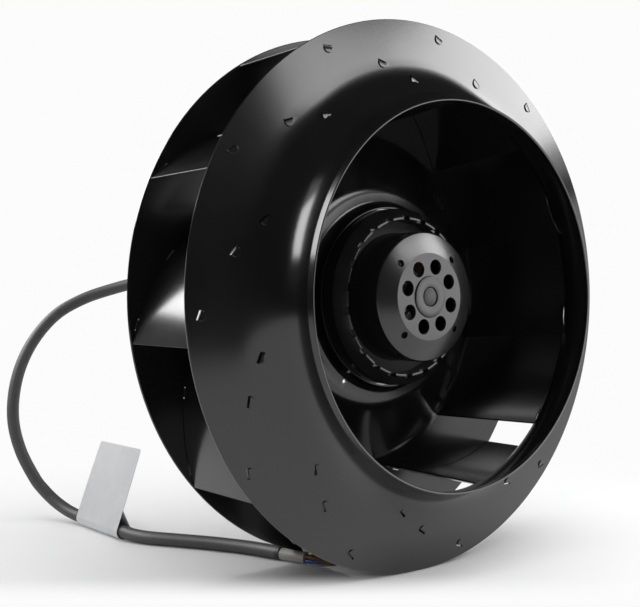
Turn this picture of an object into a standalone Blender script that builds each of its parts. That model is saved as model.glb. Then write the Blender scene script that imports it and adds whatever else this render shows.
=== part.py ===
"""Plug fan: a backward-curved wheel on an external-rotor motor, with its lead.

Sizes are in millimetres and become metres when a shape is made. Turned parts and the
wheel are modelled with local Z pointing out of the inlet; two empties lay that axis
along world -Y. The origin is the centre of the motor's rear mounting face.
"""
import math

import bmesh
import bpy
from mathutils import Matrix, Vector

MM = 0.001
GAP = 0.3

# Wheel, heights above the motor's mounting face
WHEEL_R = 177.5
SHEET = 1.5
PLATE_HEIGHT = 27.2
SHROUD_HEIGHT = 92.0
CONE_ANGLE = math.radians(10.6)
BEND_R = 30.5
CONE_WIDTH = 55.1
NECK_R = WHEEL_R - CONE_WIDTH
NECK_DRAFT = 0.9
NECK_HEIGHT = 40.8
LIP_HEIGHT = 4.0
LIP_INSET = 0.9
LIP_BEND_R = 7.0

# Back plate, which rises towards the rotor and ends in a collar
PLATE_FLAT_WIDTH = 61.5
PLATE_LAND_WIDTH = 13.6
PLATE_RISE = 26.8
PLATE_BEND_R = 14.0
COLLAR_HEIGHT = 9.0
COLLAR_BEND_R = 5.0
DRAIN_HOLE_R = 1.5
DRAIN_HOLE_OUTSET = 4.4
DRAIN_HOLE_ANGLE = math.radians(-149.0)

# Blades
BLADE_COUNT = 11
BLADE_T = 1.2
TIP_INSET = 1.0
BLADE_TIP_R = WHEEL_R - TIP_INSET
BLADE_ROOT_R = NECK_R - 2.4
BLADE_FRONT_ROOT_R = NECK_R + 1.6
BLADE_ARC_R = 135.5
BLADE_OUTLET_ANGLE = math.radians(22.5)
BLADE_PHASE = math.radians(-1.0)
BLADE_STATION_STEP = 10.0
BLADE_MOST_TURN = math.radians(75.0)
TAB_LENGTH = 7.0
TAB_PROUD = 2.4
FRONT_TAB_RADII = tuple(BLADE_TIP_R - inset for inset in (7.5, 26.1, 38.7))
REAR_TAB_RADII = tuple(BLADE_TIP_R - inset for inset in (4.7, 26.1, 46.5))
SLOT_CLEARANCE = 0.3
SLOT_CUT_DEPTH = 12.0
FACET_CLEARANCE = 0.5

# Rotor cup
ROTOR_R = 58.6
ROTOR_WALL = 2.5
ROTOR_REAR = 20.0
SHOULDER_HEIGHT = 72.2
CROWN_R = 52.4
CROWN_HEIGHT = 79.6
CROWN_LAND = 1.5
GROOVE_FLOOR = 67.5
CAP_R = 42.1
FACE_R = 28.2
FACE_HEIGHT = 99.7
CAP_DROP = 4.3
CAP_HEIGHT = FACE_HEIGHT - CAP_DROP
CUP_BEND_RADII = (0, 1.5, 0, 0, 0, 0, 1.6)
NOTCH_COUNT = 22
NOTCH_LENGTH = 5.6
NOTCH_DEPTH = 3.4
NOTCH_CUT_WIDTH = 3.6
NOTCH_PHASE = math.radians(15.0)
VENT_COUNT = 8
VENT_R = 5.0
VENT_CIRCLE_R = 19.9
VENT_PHASE = math.radians(15.4)
VENT_CUT_DEPTH = 10.0
BALANCE_HOLE_COUNT = 4
BALANCE_HOLE_R = 2.3
BALANCE_CIRCLE_R = 32.1
BALANCE_PHASE = math.radians(41.0)
BALANCE_CUT_DEPTH = 20.0

# Rotor's inner parts
HUB_R = 13.2
HUB_PROUD = 0.8
HUB_FLANGE_T = 3.0
HUB_STEP = 2.0
HUB_LENGTH = 13.0
ROTOR_CORE_T = 8.2
ROTOR_CORE_LOW = 26.0
ROTOR_CORE_HIGH = 60.0
END_RING_T = 4.0
AIR_GAP = 0.5

# Shaft and bearings
SHAFT_R = 6.0
SHAFT_CHAMFER = 0.8
SHAFT_REAR = 11.0
BEARING_R = 16.0
BEARING_W = 10.0
BEARING_RACE_T = 3.0
REAR_BEARING_LOW = 15.0
FRONT_BEARING_DEPTH = 35.7
FRONT_BEARING_LOW = FACE_HEIGHT - FRONT_BEARING_DEPTH
BALL_R = 1.5
BALL_COUNT = 7
CAGE_T = 1.4
CAGE_W = 2.0
CIRCLIP_R = 8.6
CIRCLIP_T = 1.0
SPRING_WASHER_T = 0.8
WASHER_CLEARANCE = 1.2
SPACER_R = 8.6
SPACER_T = 1.6

# Stator
CORE_LOW = 28.0
CORE_HIGH = 58.0
TUBE_R = 20.0
SLOT_COUNT = 12
SLOT_DEPTH = 15.0
SLOT_WIDTH = 8.0
SLOT_RIM_T = 3.0
SLOT_OPENING = 2.4
SLOT_OPENING_DEPTH = 8.0
INSULATOR_T = 1.6
FRONT_WINDING_HEIGHT = 12.0
REAR_WINDING_HEIGHT = 7.5
WINDING_INNER_R = 25.0
WINDING_OUTER_R = 38.0
WINDING_ROUND_R = 3.0
INSULATOR_LIP = 1.0

# Mounting flange
FLANGE_R = 50.0
FLANGE_T = 10.0
COVER_R = 57.0
COVER_STEP = 6.0
COVER_T = 4.0
COVER_TAPER = 2.0
TUBE_FILLET = 4.0
TUBE_PROUD = 1.0
POCKET_STEP = 4.0
POCKET_CLEARANCE = 2.0
BOLT_CIRCLE_R = 42.0
BOLT_COUNT = 4
BOLT_HOLE_R = 2.5
BOLT_HOLE_DEPTH = 8.0

# Lead
CABLE_R = 4.7
CABLE_HOLE_X = -28.0
GLAND_REAR = 28.0
GLAND_SEAT = 2.2
GLAND_FLANGE_R = 8.4
GLAND_NOSE_R = 6.2
GLAND_INSET = 1.0
GLAND_HEAD = 1.6
GLAND_SHOULDER = 2.6
GLAND_TAIL_R = 7.6
GLAND_LIP_T = 0.9
SLEEVE_R = 4.0
SLEEVE_LENGTH = 20.0
CORE_R = 1.3
CORE_STEPS = 7
CORE_LEAD = 1.5
CORE_SPACING = 1.4
CORE_TURN = math.radians(88.0)
CORE_TURN_R = 9.5
CORE_PLACES = (
    (-1, 1, -6.2, 14.4),
    (-1, -1, -1.8, 15.4),
    (1, -1, 1.7, 14.0),
    (1, 1, 6.0, 13.4),
)
FERRULE_R = 1.0
FERRULE_LENGTH = 7.0
LABEL_LENGTH = 60.0
LABEL_T = 0.4
LABEL_GAP = 0.8
LABEL_SEAM_HEIGHT = 14.0
LABEL_STEPS = 16
LABEL_TILT = math.radians(20.0)
FLOOR = -WHEEL_R
CABLE_REST = FLOOR + CABLE_R
LABEL_REST = CABLE_REST + LABEL_GAP + LABEL_T + 0.1

# The lead's route in world millimetres: out of the gland, back and round to the left,
# down to the surface that the rims stand on, and forward under the wheel
LABEL_BACK = (-114.2, 166.0, LABEL_REST)
LABEL_FRONT = (-112.3, 103.0, LABEL_REST)
CABLE_ROUTE = (
    (-28.0, -8.0, 0.0),
    (-28.0, 16.4, 0.0),
    (-28.0, 40.8, 0.0),
    (-28.5, 65.2, 1.2),
    (-29.9, 89.3, 4.2),
    (-32.6, 113.3, 8.3),
    (-37.4, 136.9, 11.9),
    (-45.2, 159.9, 13.7),
    (-56.8, 181.2, 12.0),
    (-72.4, 199.0, 6.5),
    (-91.2, 212.2, -1.4),
    (-110.5, 220.4, -13.4),
    (-126.8, 224.0, -31.1),
    (-139.1, 224.6, -52.2),
    (-146.4, 223.3, -75.4),
    (-148.3, 220.8, -99.6),
    (-144.0, 216.3, -123.1),
    (-135.6, 208.6, -144.7),
    (-130.4, 202.7, -154.0),
    (-125.1, 195.0, -161.7),
    (-120.3, 185.7, -167.3),
    (-116.5, 175.0, -170.6),
    LABEL_BACK,
    (-113.6, 150.0, LABEL_REST),
    (-113.1, 134.0, LABEL_REST),
    (-112.7, 118.0, LABEL_REST),
    LABEL_FRONT,
    (-110.0, 92.2, CABLE_REST + 0.3),
    (-105.6, 81.1, CABLE_REST),
    (-99.6, 70.7, CABLE_REST),
    (-86.2, 50.4, CABLE_REST),
    (-73.8, 29.6, CABLE_REST),
    (-63.7, 7.7, CABLE_REST),
    (-56.4, -15.4, CABLE_REST),
)
CABLE_STEP = 12.0

BLACK_PAINT = ("black_paint", (0.012, 0.012, 0.013), 0.32, 0.0)
MOTOR_BLACK = ("motor_black", (0.02, 0.02, 0.021), 0.36, 0.0)
CAST_ALUMINIUM = ("cast_aluminium", (0.55, 0.56, 0.57), 0.45, 1.0)
BRIGHT_STEEL = ("bright_steel", (0.62, 0.62, 0.63), 0.25, 1.0)
BLUED_STEEL = ("blued_steel", (0.13, 0.13, 0.15), 0.4, 1.0)
CORE_STEEL = ("core_steel", (0.32, 0.33, 0.35), 0.5, 1.0)
COPPER_WIRE = ("copper_wire", (0.55, 0.22, 0.1), 0.35, 1.0)
NYLON = ("nylon", (0.78, 0.75, 0.66), 0.5, 0.0)
RUBBER = ("rubber", (0.02, 0.02, 0.02), 0.6, 0.0)
CABLE_GREY = ("cable_grey", (0.09, 0.09, 0.095), 0.55, 0.0)
LABEL_WHITE = ("label_white", (0.82, 0.83, 0.84), 0.45, 0.0)
SLEEVE_GREY = ("sleeve_grey", (0.45, 0.44, 0.42), 0.55, 0.0)
TINNED = ("tinned_copper", (0.7, 0.7, 0.7), 0.3, 1.0)
CORE_COLOURS = (
    ("core_brown", (0.16, 0.07, 0.03), 0.45, 0.0),
    ("core_blue", (0.03, 0.1, 0.35), 0.45, 0.0),
    ("core_black", (0.015, 0.015, 0.015), 0.45, 0.0),
    ("core_green_yellow", (0.2, 0.45, 0.05), 0.45, 0.0),
)


def clear_scene():
    for thing in list(bpy.data.objects):
        bpy.data.objects.remove(thing)


def make_collection(name):
    group = bpy.data.collections.new(name)
    bpy.context.scene.collection.children.link(group)
    return group


def make_empty(name, group):
    """An empty at the origin whose local Z points out of the inlet, along world -Y."""
    empty = bpy.data.objects.new(name, None)
    empty.rotation_euler = (math.pi / 2, 0, 0)
    group.objects.link(empty)
    return empty


def material(look):
    name, colour, roughness, metallic = look
    made = bpy.data.materials.get(name)
    if made:
        return made
    made = bpy.data.materials.new(name)
    made.use_nodes = True
    shader = made.node_tree.nodes["Principled BSDF"]
    shader.inputs["Base Color"].default_value = (*colour, 1.0)
    shader.inputs["Roughness"].default_value = roughness
    shader.inputs["Metallic"].default_value = metallic
    return made


def add_object(name, mesh, look, parent=None):
    """Put a mesh in the fan's collection, with its material, under its carrier."""
    thing = bpy.data.objects.new(name, mesh)
    PARTS.objects.link(thing)
    if look:
        mesh.materials.append(material(look))
    thing.parent = parent
    return thing


def mesh_from(bm, name):
    mesh = bpy.data.meshes.new(name)
    bmesh.ops.recalc_face_normals(bm, faces=bm.faces)
    bm.to_mesh(mesh)
    bm.free()
    return mesh


def rounded(points, radii, steps=None):
    """Round the inner corners of a polyline, with a radius and a step count for each."""
    line = [Vector(points[0])]
    steps = steps or (1,) * len(radii)
    for before, corner, after, radius, count in zip(points, points[1:], points[2:], radii, steps):
        corner = Vector(corner)
        back = (Vector(before) - corner).normalized()
        ahead = (Vector(after) - corner).normalized()
        if radius <= 0:
            line.append(corner)
            continue
        half = back.angle(ahead) / 2
        reach = radius / math.tan(half)
        centre = corner + (back + ahead).normalized() * radius / math.sin(half)
        start = corner + back * reach - centre
        end = corner + ahead * reach - centre
        turn = start.angle_signed(end)
        for step in range(count + 1):
            angle = -turn * step / count
            spoke = Vector((
                start.x * math.cos(angle) - start.y * math.sin(angle),
                start.x * math.sin(angle) + start.y * math.cos(angle),
            ))
            line.append(centre + spoke)
    line.append(Vector(points[-1]))
    return line


def profile_mesh(name, line, closed):
    """Edges of a turning profile: x is the radius and z the height, in millimetres."""
    bm = bmesh.new()
    verts = [bm.verts.new((r * MM, 0, z * MM)) for r, z in line]
    for first, second in zip(verts, verts[1:]):
        bm.edges.new((first, second))
    if closed:
        bm.edges.new((verts[-1], verts[0]))
    mesh = bpy.data.meshes.new(name)
    bm.to_mesh(mesh)
    bm.free()
    return mesh


def turn(thing, steps):
    screw = thing.modifiers.new("turn", "SCREW")
    screw.axis = "Z"
    screw.angle = 2 * math.pi
    screw.steps = steps
    screw.render_steps = steps
    screw.use_merge_vertices = True
    screw.merge_threshold = 0.00001


def turned_ring(name, loop, look, parent, steps=32):
    """A solid of revolution from a closed loop that runs down its outer side."""
    ring = add_object(name, profile_mesh(name, loop, True), look, parent)
    turn(ring, steps)
    return ring


def turned_solid(name, line, look, parent, steps=32):
    """A solid of revolution from a line that starts and ends on the axis."""
    solid = add_object(name, profile_mesh(name, line, False), look, parent)
    turn(solid, steps)
    return solid


def turned_shell(name, line, thickness, look, parent, steps=48):
    """Sheet metal of revolution: the line is its outer face, and the sheet lies behind it."""
    shell = add_object(name, profile_mesh(name, line, False), look, parent)
    turn(shell, steps)
    solidify = shell.modifiers.new("sheet", "SOLIDIFY")
    solidify.thickness = thickness * MM
    solidify.offset = -1
    solidify.use_even_offset = True
    return shell


def tube_loop(outer, inner, low, high):
    return [(outer, high), (outer, low), (inner, low), (inner, high)]


def baked(thing):
    """Replace an object's modifiers, or its curve, by the mesh that they make."""
    graph = bpy.context.evaluated_depsgraph_get()
    mesh = bpy.data.meshes.new_from_object(thing.evaluated_get(graph))
    if thing.type == "CURVE":
        bm = bmesh.new()
        bm.from_mesh(mesh)
        bmesh.ops.remove_doubles(bm, verts=bm.verts, dist=0.000001)
        bm.to_mesh(mesh)
        bm.free()
    solid = bpy.data.objects.new(thing.name + "_solid", mesh)
    PARTS.objects.link(solid)
    solid.parent = thing.parent
    solid.matrix_world = thing.matrix_world
    name = thing.name
    bpy.data.objects.remove(thing)
    solid.name = name
    mesh.name = name
    return solid


def new_cutter(name, bm, parent):
    cutter = bpy.data.objects.new(name, mesh_from(bm, name))
    CUTTERS.objects.link(cutter)
    cutter.parent = parent
    cutter.hide_render = True
    cutter.display_type = "WIRE"
    return cutter


def boolean(thing, other, operation="DIFFERENCE"):
    modifier = thing.modifiers.new(operation.lower(), "BOOLEAN")
    modifier.operation = operation
    modifier.object = other


def add_block(bm, size, place):
    """A box of the given size in millimetres, moved by a matrix in millimetres."""
    matrix = Matrix.Scale(MM, 4) @ place @ Matrix.Diagonal((*size, 1))
    bmesh.ops.create_cube(bm, size=1, matrix=matrix)


def add_rod(bm, radius, depth, place, segments=12):
    """A rod along local Z with its middle at a place, all in millimetres."""
    matrix = Matrix.Scale(MM, 4) @ place
    bmesh.ops.create_cone(
        bm, cap_ends=True, segments=segments, radius1=radius, radius2=radius, depth=depth,
        matrix=matrix)


def polar(radius, angle, height=0.0):
    """A point seen from the inlet: the angle runs clockwise from straight up."""
    return Vector((radius * math.sin(angle), radius * math.cos(angle), height))


def spread(count, phase=0.0):
    return [phase + 2 * math.pi * index / count for index in range(count)]


def facing(angle):
    """Turn local Y to point outward at this angle about the fan's axis."""
    return Matrix.Rotation(-angle, 4, "Z")


def shroud_line(offset=0.0):
    """Outer face of the inlet shroud from the rim to the outer edge, or a line behind it."""
    corner_r = NECK_R + NECK_DRAFT
    corner_z = SHROUD_HEIGHT + (WHEEL_R - corner_r) * math.tan(CONE_ANGLE)
    rim_z = SHROUD_HEIGHT + NECK_HEIGHT
    points = [
        (NECK_R - LIP_INSET, rim_z),
        (NECK_R, rim_z - LIP_HEIGHT),
        (corner_r, corner_z),
        (WHEEL_R, SHROUD_HEIGHT),
    ]
    line = rounded(points, (LIP_BEND_R, BEND_R), steps=(1, 4))
    if offset == 0:
        return line
    moved = []
    for index, point in enumerate(line):
        before = line[max(index - 1, 0)]
        after = line[min(index + 1, len(line) - 1)]
        way = (after - before).normalized()
        moved.append(point - Vector((-way.y, way.x)) * offset)
    return moved


def shroud_underside(radius, clearance):
    """Height of the shroud's inner face above the mounting face, less a clearance."""
    line = shroud_line(SHEET + clearance)
    for first, second in zip(line, line[1:]):
        if first.x <= radius <= second.x:
            share = (radius - first.x) / (second.x - first.x)
            return first.y + (second.y - first.y) * share
    return line[-1].y


def make_front_shroud(parent):
    shroud = turned_shell("front_shroud", shroud_line(), SHEET, BLACK_PAINT, parent)
    bm = bmesh.new()
    for angle in spread(BLADE_COUNT, BLADE_PHASE):
        for radius in FRONT_TAB_RADII:
            add_tab_slot(bm, radius, angle, shroud_underside(radius, 0))
    boolean(shroud, new_cutter("shroud_slots", bm, parent))


def make_back_plate(parent):
    collar_r = ROTOR_R + GAP + SHEET
    land_z = PLATE_HEIGHT + PLATE_RISE
    points = [
        (collar_r, land_z + COLLAR_HEIGHT),
        (collar_r, land_z),
        (collar_r + PLATE_LAND_WIDTH, land_z),
        (WHEEL_R - PLATE_FLAT_WIDTH, PLATE_HEIGHT),
        (WHEEL_R, PLATE_HEIGHT),
    ]
    line = rounded(points, (COLLAR_BEND_R, PLATE_BEND_R, PLATE_BEND_R), steps=(2, 1, 1))
    plate = turned_shell("back_plate", line, SHEET, BLACK_PAINT, parent)
    bm = bmesh.new()
    for angle in spread(BLADE_COUNT, BLADE_PHASE):
        for radius in REAR_TAB_RADII:
            add_tab_slot(bm, radius, angle, PLATE_HEIGHT)
    drain = polar(collar_r + DRAIN_HOLE_OUTSET, DRAIN_HOLE_ANGLE, land_z)
    add_rod(bm, DRAIN_HOLE_R, SLOT_CUT_DEPTH, Matrix.Translation(drain))
    boolean(plate, new_cutter("plate_slots", bm, parent))


def blade_frame(turned):
    """Point and heading on the blade's arc after turning by an angle from its tip."""
    tip = Vector((0, BLADE_TIP_R))
    heading = Vector((math.cos(BLADE_OUTLET_ANGLE), -math.sin(BLADE_OUTLET_ANGLE)))
    inward = Vector((-math.sin(BLADE_OUTLET_ANGLE), -math.cos(BLADE_OUTLET_ANGLE)))
    centre = tip + inward * BLADE_ARC_R
    point = centre + BLADE_ARC_R * (heading * math.sin(turned) - inward * math.cos(turned))
    way = heading * math.cos(turned) + inward * math.sin(turned)
    return point, way


def blade_turn_at(radius):
    """How far the blade's arc has turned where it crosses a radius, found by halving."""
    low = 0.0
    high = BLADE_MOST_TURN
    for _ in range(50):
        middle = (low + high) / 2
        if blade_frame(middle)[0].length > radius:
            low = middle
        else:
            high = middle
    return low


def add_tab_slot(bm, radius, angle, height):
    """A cutter for the slot that a blade's tab passes through."""
    point, way = blade_frame(blade_turn_at(radius))
    place = facing(angle) @ Matrix.Translation((point.x, point.y, height))
    place = place @ Matrix.Rotation(math.atan2(way.y, way.x), 4, "Z")
    size = (TAB_LENGTH + 2 * SLOT_CLEARANCE, BLADE_T + 2 * SLOT_CLEARANCE, SLOT_CUT_DEPTH)
    add_block(bm, size, place)


def blade_along(radius):
    """Distance along the blade, from its tip, to where it crosses a radius."""
    return BLADE_ARC_R * blade_turn_at(radius)


def tab_spans(radii):
    """Where each tab starts and ends along the blade."""
    half = TAB_LENGTH / 2
    return [(blade_along(radius) - half, blade_along(radius) + half) for radius in radii]


def blade_stations():
    """Where the flat blade is creased: at its tabs, along the shroud's bend, and in between."""
    sides = [side for span in tab_spans(FRONT_TAB_RADII) + tab_spans(REAR_TAB_RADII) for side in span]
    bends = [
        blade_along(point.x) for point in shroud_line(SHEET + GAP + FACET_CLEARANCE)
        if BLADE_FRONT_ROOT_R + 1 < point.x < FRONT_TAB_RADII[-1]]
    corners = sorted({round(along, 3) for along in [0, *sides, *bends]})
    stations = []
    for first, second in zip(corners, corners[1:]):
        count = max(1, round((second - first) / BLADE_STATION_STEP))
        stations += [first + (second - first) * index / count for index in range(count)]
    return stations + corners[-1:]


def extruded_tabs(bm, edges, spans, height):
    """Extend the flat blade's edge by a tab over each span; height depends on the place."""
    chosen = []
    for edge in edges:
        middle = (edge.verts[0].co.x + edge.verts[1].co.x) / 2
        if any(low < middle < high for low, high in spans):
            chosen.append(edge)
    made = bmesh.ops.extrude_edge_only(bm, edges=chosen)["geom"]
    for vert in made:
        if isinstance(vert, bmesh.types.BMVert):
            vert.co.y = height(vert.co.x)


def make_blade_mesh():
    """Lay out the flat blade as a surface with its tabs, then bend it along its arc."""
    def radius_at(along):
        return blade_frame(along / BLADE_ARC_R)[0].length

    front_end = blade_along(BLADE_FRONT_ROOT_R)
    rear_end = blade_along(BLADE_ROOT_R)
    low = PLATE_HEIGHT + GAP
    bm = bmesh.new()
    verts = [bm.verts.new((along, low, 0)) for along in (*blade_stations(), rear_end)]
    rear_edges = [bm.edges.new(pair) for pair in zip(verts, verts[1:])]
    made = bmesh.ops.extrude_edge_only(bm, edges=rear_edges)["geom"]
    front_verts = {item for item in made if isinstance(item, bmesh.types.BMVert)}
    front_edges = [
        item for item in made
        if isinstance(item, bmesh.types.BMEdge) and front_verts.issuperset(item.verts)]
    for vert in front_verts:
        vert.co.x = min(vert.co.x, front_end)
        vert.co.y = shroud_underside(radius_at(vert.co.x), GAP + FACET_CLEARANCE)
    extruded_tabs(
        bm, rear_edges, tab_spans(REAR_TAB_RADII),
        lambda along: PLATE_HEIGHT - SHEET - TAB_PROUD)
    extruded_tabs(
        bm, front_edges, tab_spans(FRONT_TAB_RADII),
        lambda along: shroud_underside(radius_at(along), 0) + SHEET + TAB_PROUD)
    for vert in bm.verts:
        along, up, _ = vert.co
        point, _ = blade_frame(along / BLADE_ARC_R)
        vert.co = Vector((point.x, point.y, up)) * MM
    return mesh_from(bm, "blade")


def make_blades(parent):
    mesh = make_blade_mesh()
    mesh.materials.append(material(BLACK_PAINT))
    for index, angle in enumerate(spread(BLADE_COUNT, BLADE_PHASE)):
        blade = add_object(f"blade_{index + 1:02d}", mesh, None, parent)
        blade.rotation_euler = (0, 0, -angle)
        solidify = blade.modifiers.new("sheet", "SOLIDIFY")
        solidify.thickness = BLADE_T * MM
        solidify.offset = 0
        solidify.use_even_offset = True


def make_rotor_cup(parent):
    points = [
        (HUB_R + GAP, FACE_HEIGHT),
        (FACE_R, FACE_HEIGHT),
        (CAP_R, CAP_HEIGHT),
        (CAP_R, GROOVE_FLOOR),
        (CROWN_R - CROWN_LAND, GROOVE_FLOOR),
        (CROWN_R - CROWN_LAND, CROWN_HEIGHT),
        (CROWN_R, CROWN_HEIGHT),
        (ROTOR_R, SHOULDER_HEIGHT),
        (ROTOR_R, ROTOR_REAR),
    ]
    line = rounded(points, CUP_BEND_RADII)
    cup = turned_ring("rotor_cup", cup_loop(line), MOTOR_BLACK, parent, steps=44)
    bm = bmesh.new()
    for angle in spread(NOTCH_COUNT, NOTCH_PHASE):
        middle = CROWN_R - CROWN_LAND / 2
        place = facing(angle) @ Matrix.Translation((0, middle, CROWN_HEIGHT))
        add_block(bm, (NOTCH_LENGTH, NOTCH_CUT_WIDTH, 2 * NOTCH_DEPTH), place)
    for angle in spread(VENT_COUNT, VENT_PHASE):
        place = Matrix.Translation(polar(VENT_CIRCLE_R, angle, FACE_HEIGHT))
        add_rod(bm, VENT_R, VENT_CUT_DEPTH, place)
    for angle in spread(BALANCE_HOLE_COUNT, BALANCE_PHASE):
        place = Matrix.Translation(polar(BALANCE_CIRCLE_R, angle, CAP_HEIGHT))
        add_rod(bm, BALANCE_HOLE_R, BALANCE_CUT_DEPTH, place, segments=8)
    boolean(cup, new_cutter("cup_holes", bm, parent))


def cup_loop(outer):
    """Close the cup's section with its inner face, which leaves out the crown's groove."""
    wall = ROTOR_WALL
    inner_r = ROTOR_R - wall
    floor = GROOVE_FLOOR - wall
    inner = [
        (inner_r, ROTOR_REAR),
        (inner_r, floor),
        (CAP_R - wall, floor),
        (CAP_R - wall, CAP_HEIGHT - wall),
        (FACE_R, FACE_HEIGHT - wall),
        (HUB_R + GAP, FACE_HEIGHT - wall),
    ]
    return [tuple(point) for point in outer] + inner


def make_rotor(parent):
    make_rotor_cup(parent)
    cup_inner = ROTOR_R - ROTOR_WALL
    core_outer = cup_inner - GAP
    core_inner = core_outer - ROTOR_CORE_T
    turned_ring(
        "rotor_core", tube_loop(core_outer, core_inner, ROTOR_CORE_LOW, ROTOR_CORE_HIGH),
        CORE_STEEL, parent)
    ring_top = ROTOR_CORE_HIGH + GAP + END_RING_T
    ring_low = ROTOR_CORE_LOW - GAP - END_RING_T
    turned_ring(
        "front_end_ring", tube_loop(core_outer, core_inner, ROTOR_CORE_HIGH + GAP, ring_top),
        CAST_ALUMINIUM, parent)
    turned_ring(
        "rear_end_ring", tube_loop(core_outer, core_inner, ring_low, ROTOR_CORE_LOW - GAP),
        CAST_ALUMINIUM, parent)
    flange_top = FACE_HEIGHT - ROTOR_WALL - GAP
    hub_top = FACE_HEIGHT + HUB_PROUD
    hub_flange_r = VENT_CIRCLE_R - VENT_R - GAP
    hub = [
        (HUB_R, hub_top),
        (HUB_R, flange_top),
        (hub_flange_r, flange_top),
        (hub_flange_r, flange_top - HUB_FLANGE_T),
        (HUB_R - HUB_STEP, flange_top - HUB_FLANGE_T),
        (HUB_R - HUB_STEP, hub_top - HUB_LENGTH),
        (SHAFT_R + GAP, hub_top - HUB_LENGTH),
        (SHAFT_R + GAP, hub_top),
    ]
    turned_ring("rotor_hub", hub, MOTOR_BLACK, parent, steps=28)
    shaft_top = hub_top - GAP
    clip_high = REAR_BEARING_LOW - GAP
    groove_top = REAR_BEARING_LOW
    groove_low = clip_high - CIRCLIP_T - GAP
    shaft = [
        (0, shaft_top),
        (SHAFT_R - SHAFT_CHAMFER, shaft_top),
        (SHAFT_R, shaft_top - SHAFT_CHAMFER),
        (SHAFT_R, groove_top),
        (SHAFT_R - SHAFT_CHAMFER, groove_top),
        (SHAFT_R - SHAFT_CHAMFER, groove_low),
        (SHAFT_R, groove_low),
        (SHAFT_R, SHAFT_REAR + SHAFT_CHAMFER),
        (SHAFT_R - SHAFT_CHAMFER, SHAFT_REAR),
        (0, SHAFT_REAR),
    ]
    turned_solid("shaft", shaft, BRIGHT_STEEL, parent, steps=24)
    turned_ring(
        "shaft_circlip",
        tube_loop(CIRCLIP_R, SHAFT_R - SHAFT_CHAMFER + GAP, clip_high - CIRCLIP_T, clip_high),
        BLUED_STEEL, parent, steps=24)
    make_spacer(parent)
    for name, low in (("rear", REAR_BEARING_LOW), ("front", FRONT_BEARING_LOW)):
        inner_race = SHAFT_R + GAP + BEARING_RACE_T
        turned_ring(
            f"{name}_bearing_inner_ring",
            tube_loop(inner_race, SHAFT_R + GAP, low, low + BEARING_W),
            BRIGHT_STEEL, parent, steps=24)
        make_ball_cage(f"{name}_ball_cage", low + BEARING_W / 2, parent)


def ball_circle_radius():
    return (SHAFT_R + GAP + BEARING_RACE_T + BEARING_R - BEARING_RACE_T) / 2


def make_ball_cage(name, middle, parent):
    """The balls and the flat ring that spaces them, joined into one piece."""
    circle = ball_circle_radius()
    ring = turned_ring(
        name,
        tube_loop(
            circle + CAGE_T / 2, circle - CAGE_T / 2, middle - CAGE_W / 2, middle + CAGE_W / 2),
        BRIGHT_STEEL, parent, steps=21)
    bm = bmesh.new()
    for angle in spread(BALL_COUNT):
        place = Matrix.Scale(MM, 4) @ Matrix.Translation(polar(circle, angle, middle))
        bmesh.ops.create_uvsphere(bm, u_segments=6, v_segments=4, radius=BALL_R, matrix=place)
    boolean(ring, new_cutter(name + "_balls", bm, parent), "UNION")


def make_spacer(parent):
    """The sleeve between the hub and the front bearing's inner ring."""
    low = FRONT_BEARING_LOW + BEARING_W + GAP
    high = FACE_HEIGHT + HUB_PROUD - HUB_LENGTH - GAP
    turned_ring(
        "shaft_spacer", tube_loop(SPACER_R, SHAFT_R + GAP, low, high), BRIGHT_STEEL, parent, steps=24)


def make_stator(parent):
    core_outer = ROTOR_R - ROTOR_WALL - GAP - ROTOR_CORE_T - AIR_GAP
    bore = TUBE_R + GAP
    core = turned_ring(
        "stator_core", tube_loop(core_outer, bore, CORE_LOW, CORE_HIGH), CORE_STEEL, parent)
    bm = bmesh.new()
    middle = (CORE_LOW + CORE_HIGH) / 2
    height = 2 * (CORE_HIGH - CORE_LOW)
    for angle in spread(SLOT_COUNT):
        pocket = core_outer - SLOT_RIM_T - SLOT_DEPTH / 2
        place = facing(angle) @ Matrix.Translation((0, pocket, middle))
        add_block(bm, (SLOT_WIDTH, SLOT_DEPTH, height), place)
    boolean(core, new_cutter("stator_slots", bm, parent))
    mouths = bmesh.new()
    for angle in spread(SLOT_COUNT):
        place = facing(angle) @ Matrix.Translation((0, core_outer, middle))
        add_block(mouths, (SLOT_OPENING, SLOT_OPENING_DEPTH, height), place)
    boolean(core, new_cutter("stator_slot_mouths", mouths, parent))
    for name, low, high, top in (
        ("front", CORE_HIGH + GAP, CORE_HIGH + GAP + INSULATOR_T, FRONT_WINDING_HEIGHT),
        ("rear", CORE_LOW - GAP - INSULATOR_T, CORE_LOW - GAP, REAR_WINDING_HEIGHT),
    ):
        turned_ring(
            f"{name}_insulator",
            tube_loop(WINDING_OUTER_R + INSULATOR_LIP, TUBE_R + GAP, low, high),
            NYLON, parent)
        if name == "front":
            span = (high + GAP, high + GAP + top)
        else:
            span = (low - GAP - top, low - GAP)
        turned_ring(f"{name}_winding", winding_loop(*span), COPPER_WIRE, parent, steps=28)
    make_bearing_tube(parent)


def winding_loop(low, high):
    points = [
        ((WINDING_INNER_R + WINDING_OUTER_R) / 2, high),
        (WINDING_OUTER_R, high),
        (WINDING_OUTER_R, low),
        (WINDING_INNER_R, low),
        (WINDING_INNER_R, high),
        ((WINDING_INNER_R + WINDING_OUTER_R) / 2, high),
    ]
    line = rounded(points, (WINDING_ROUND_R,) * 4)
    return line[1:-1]


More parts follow.
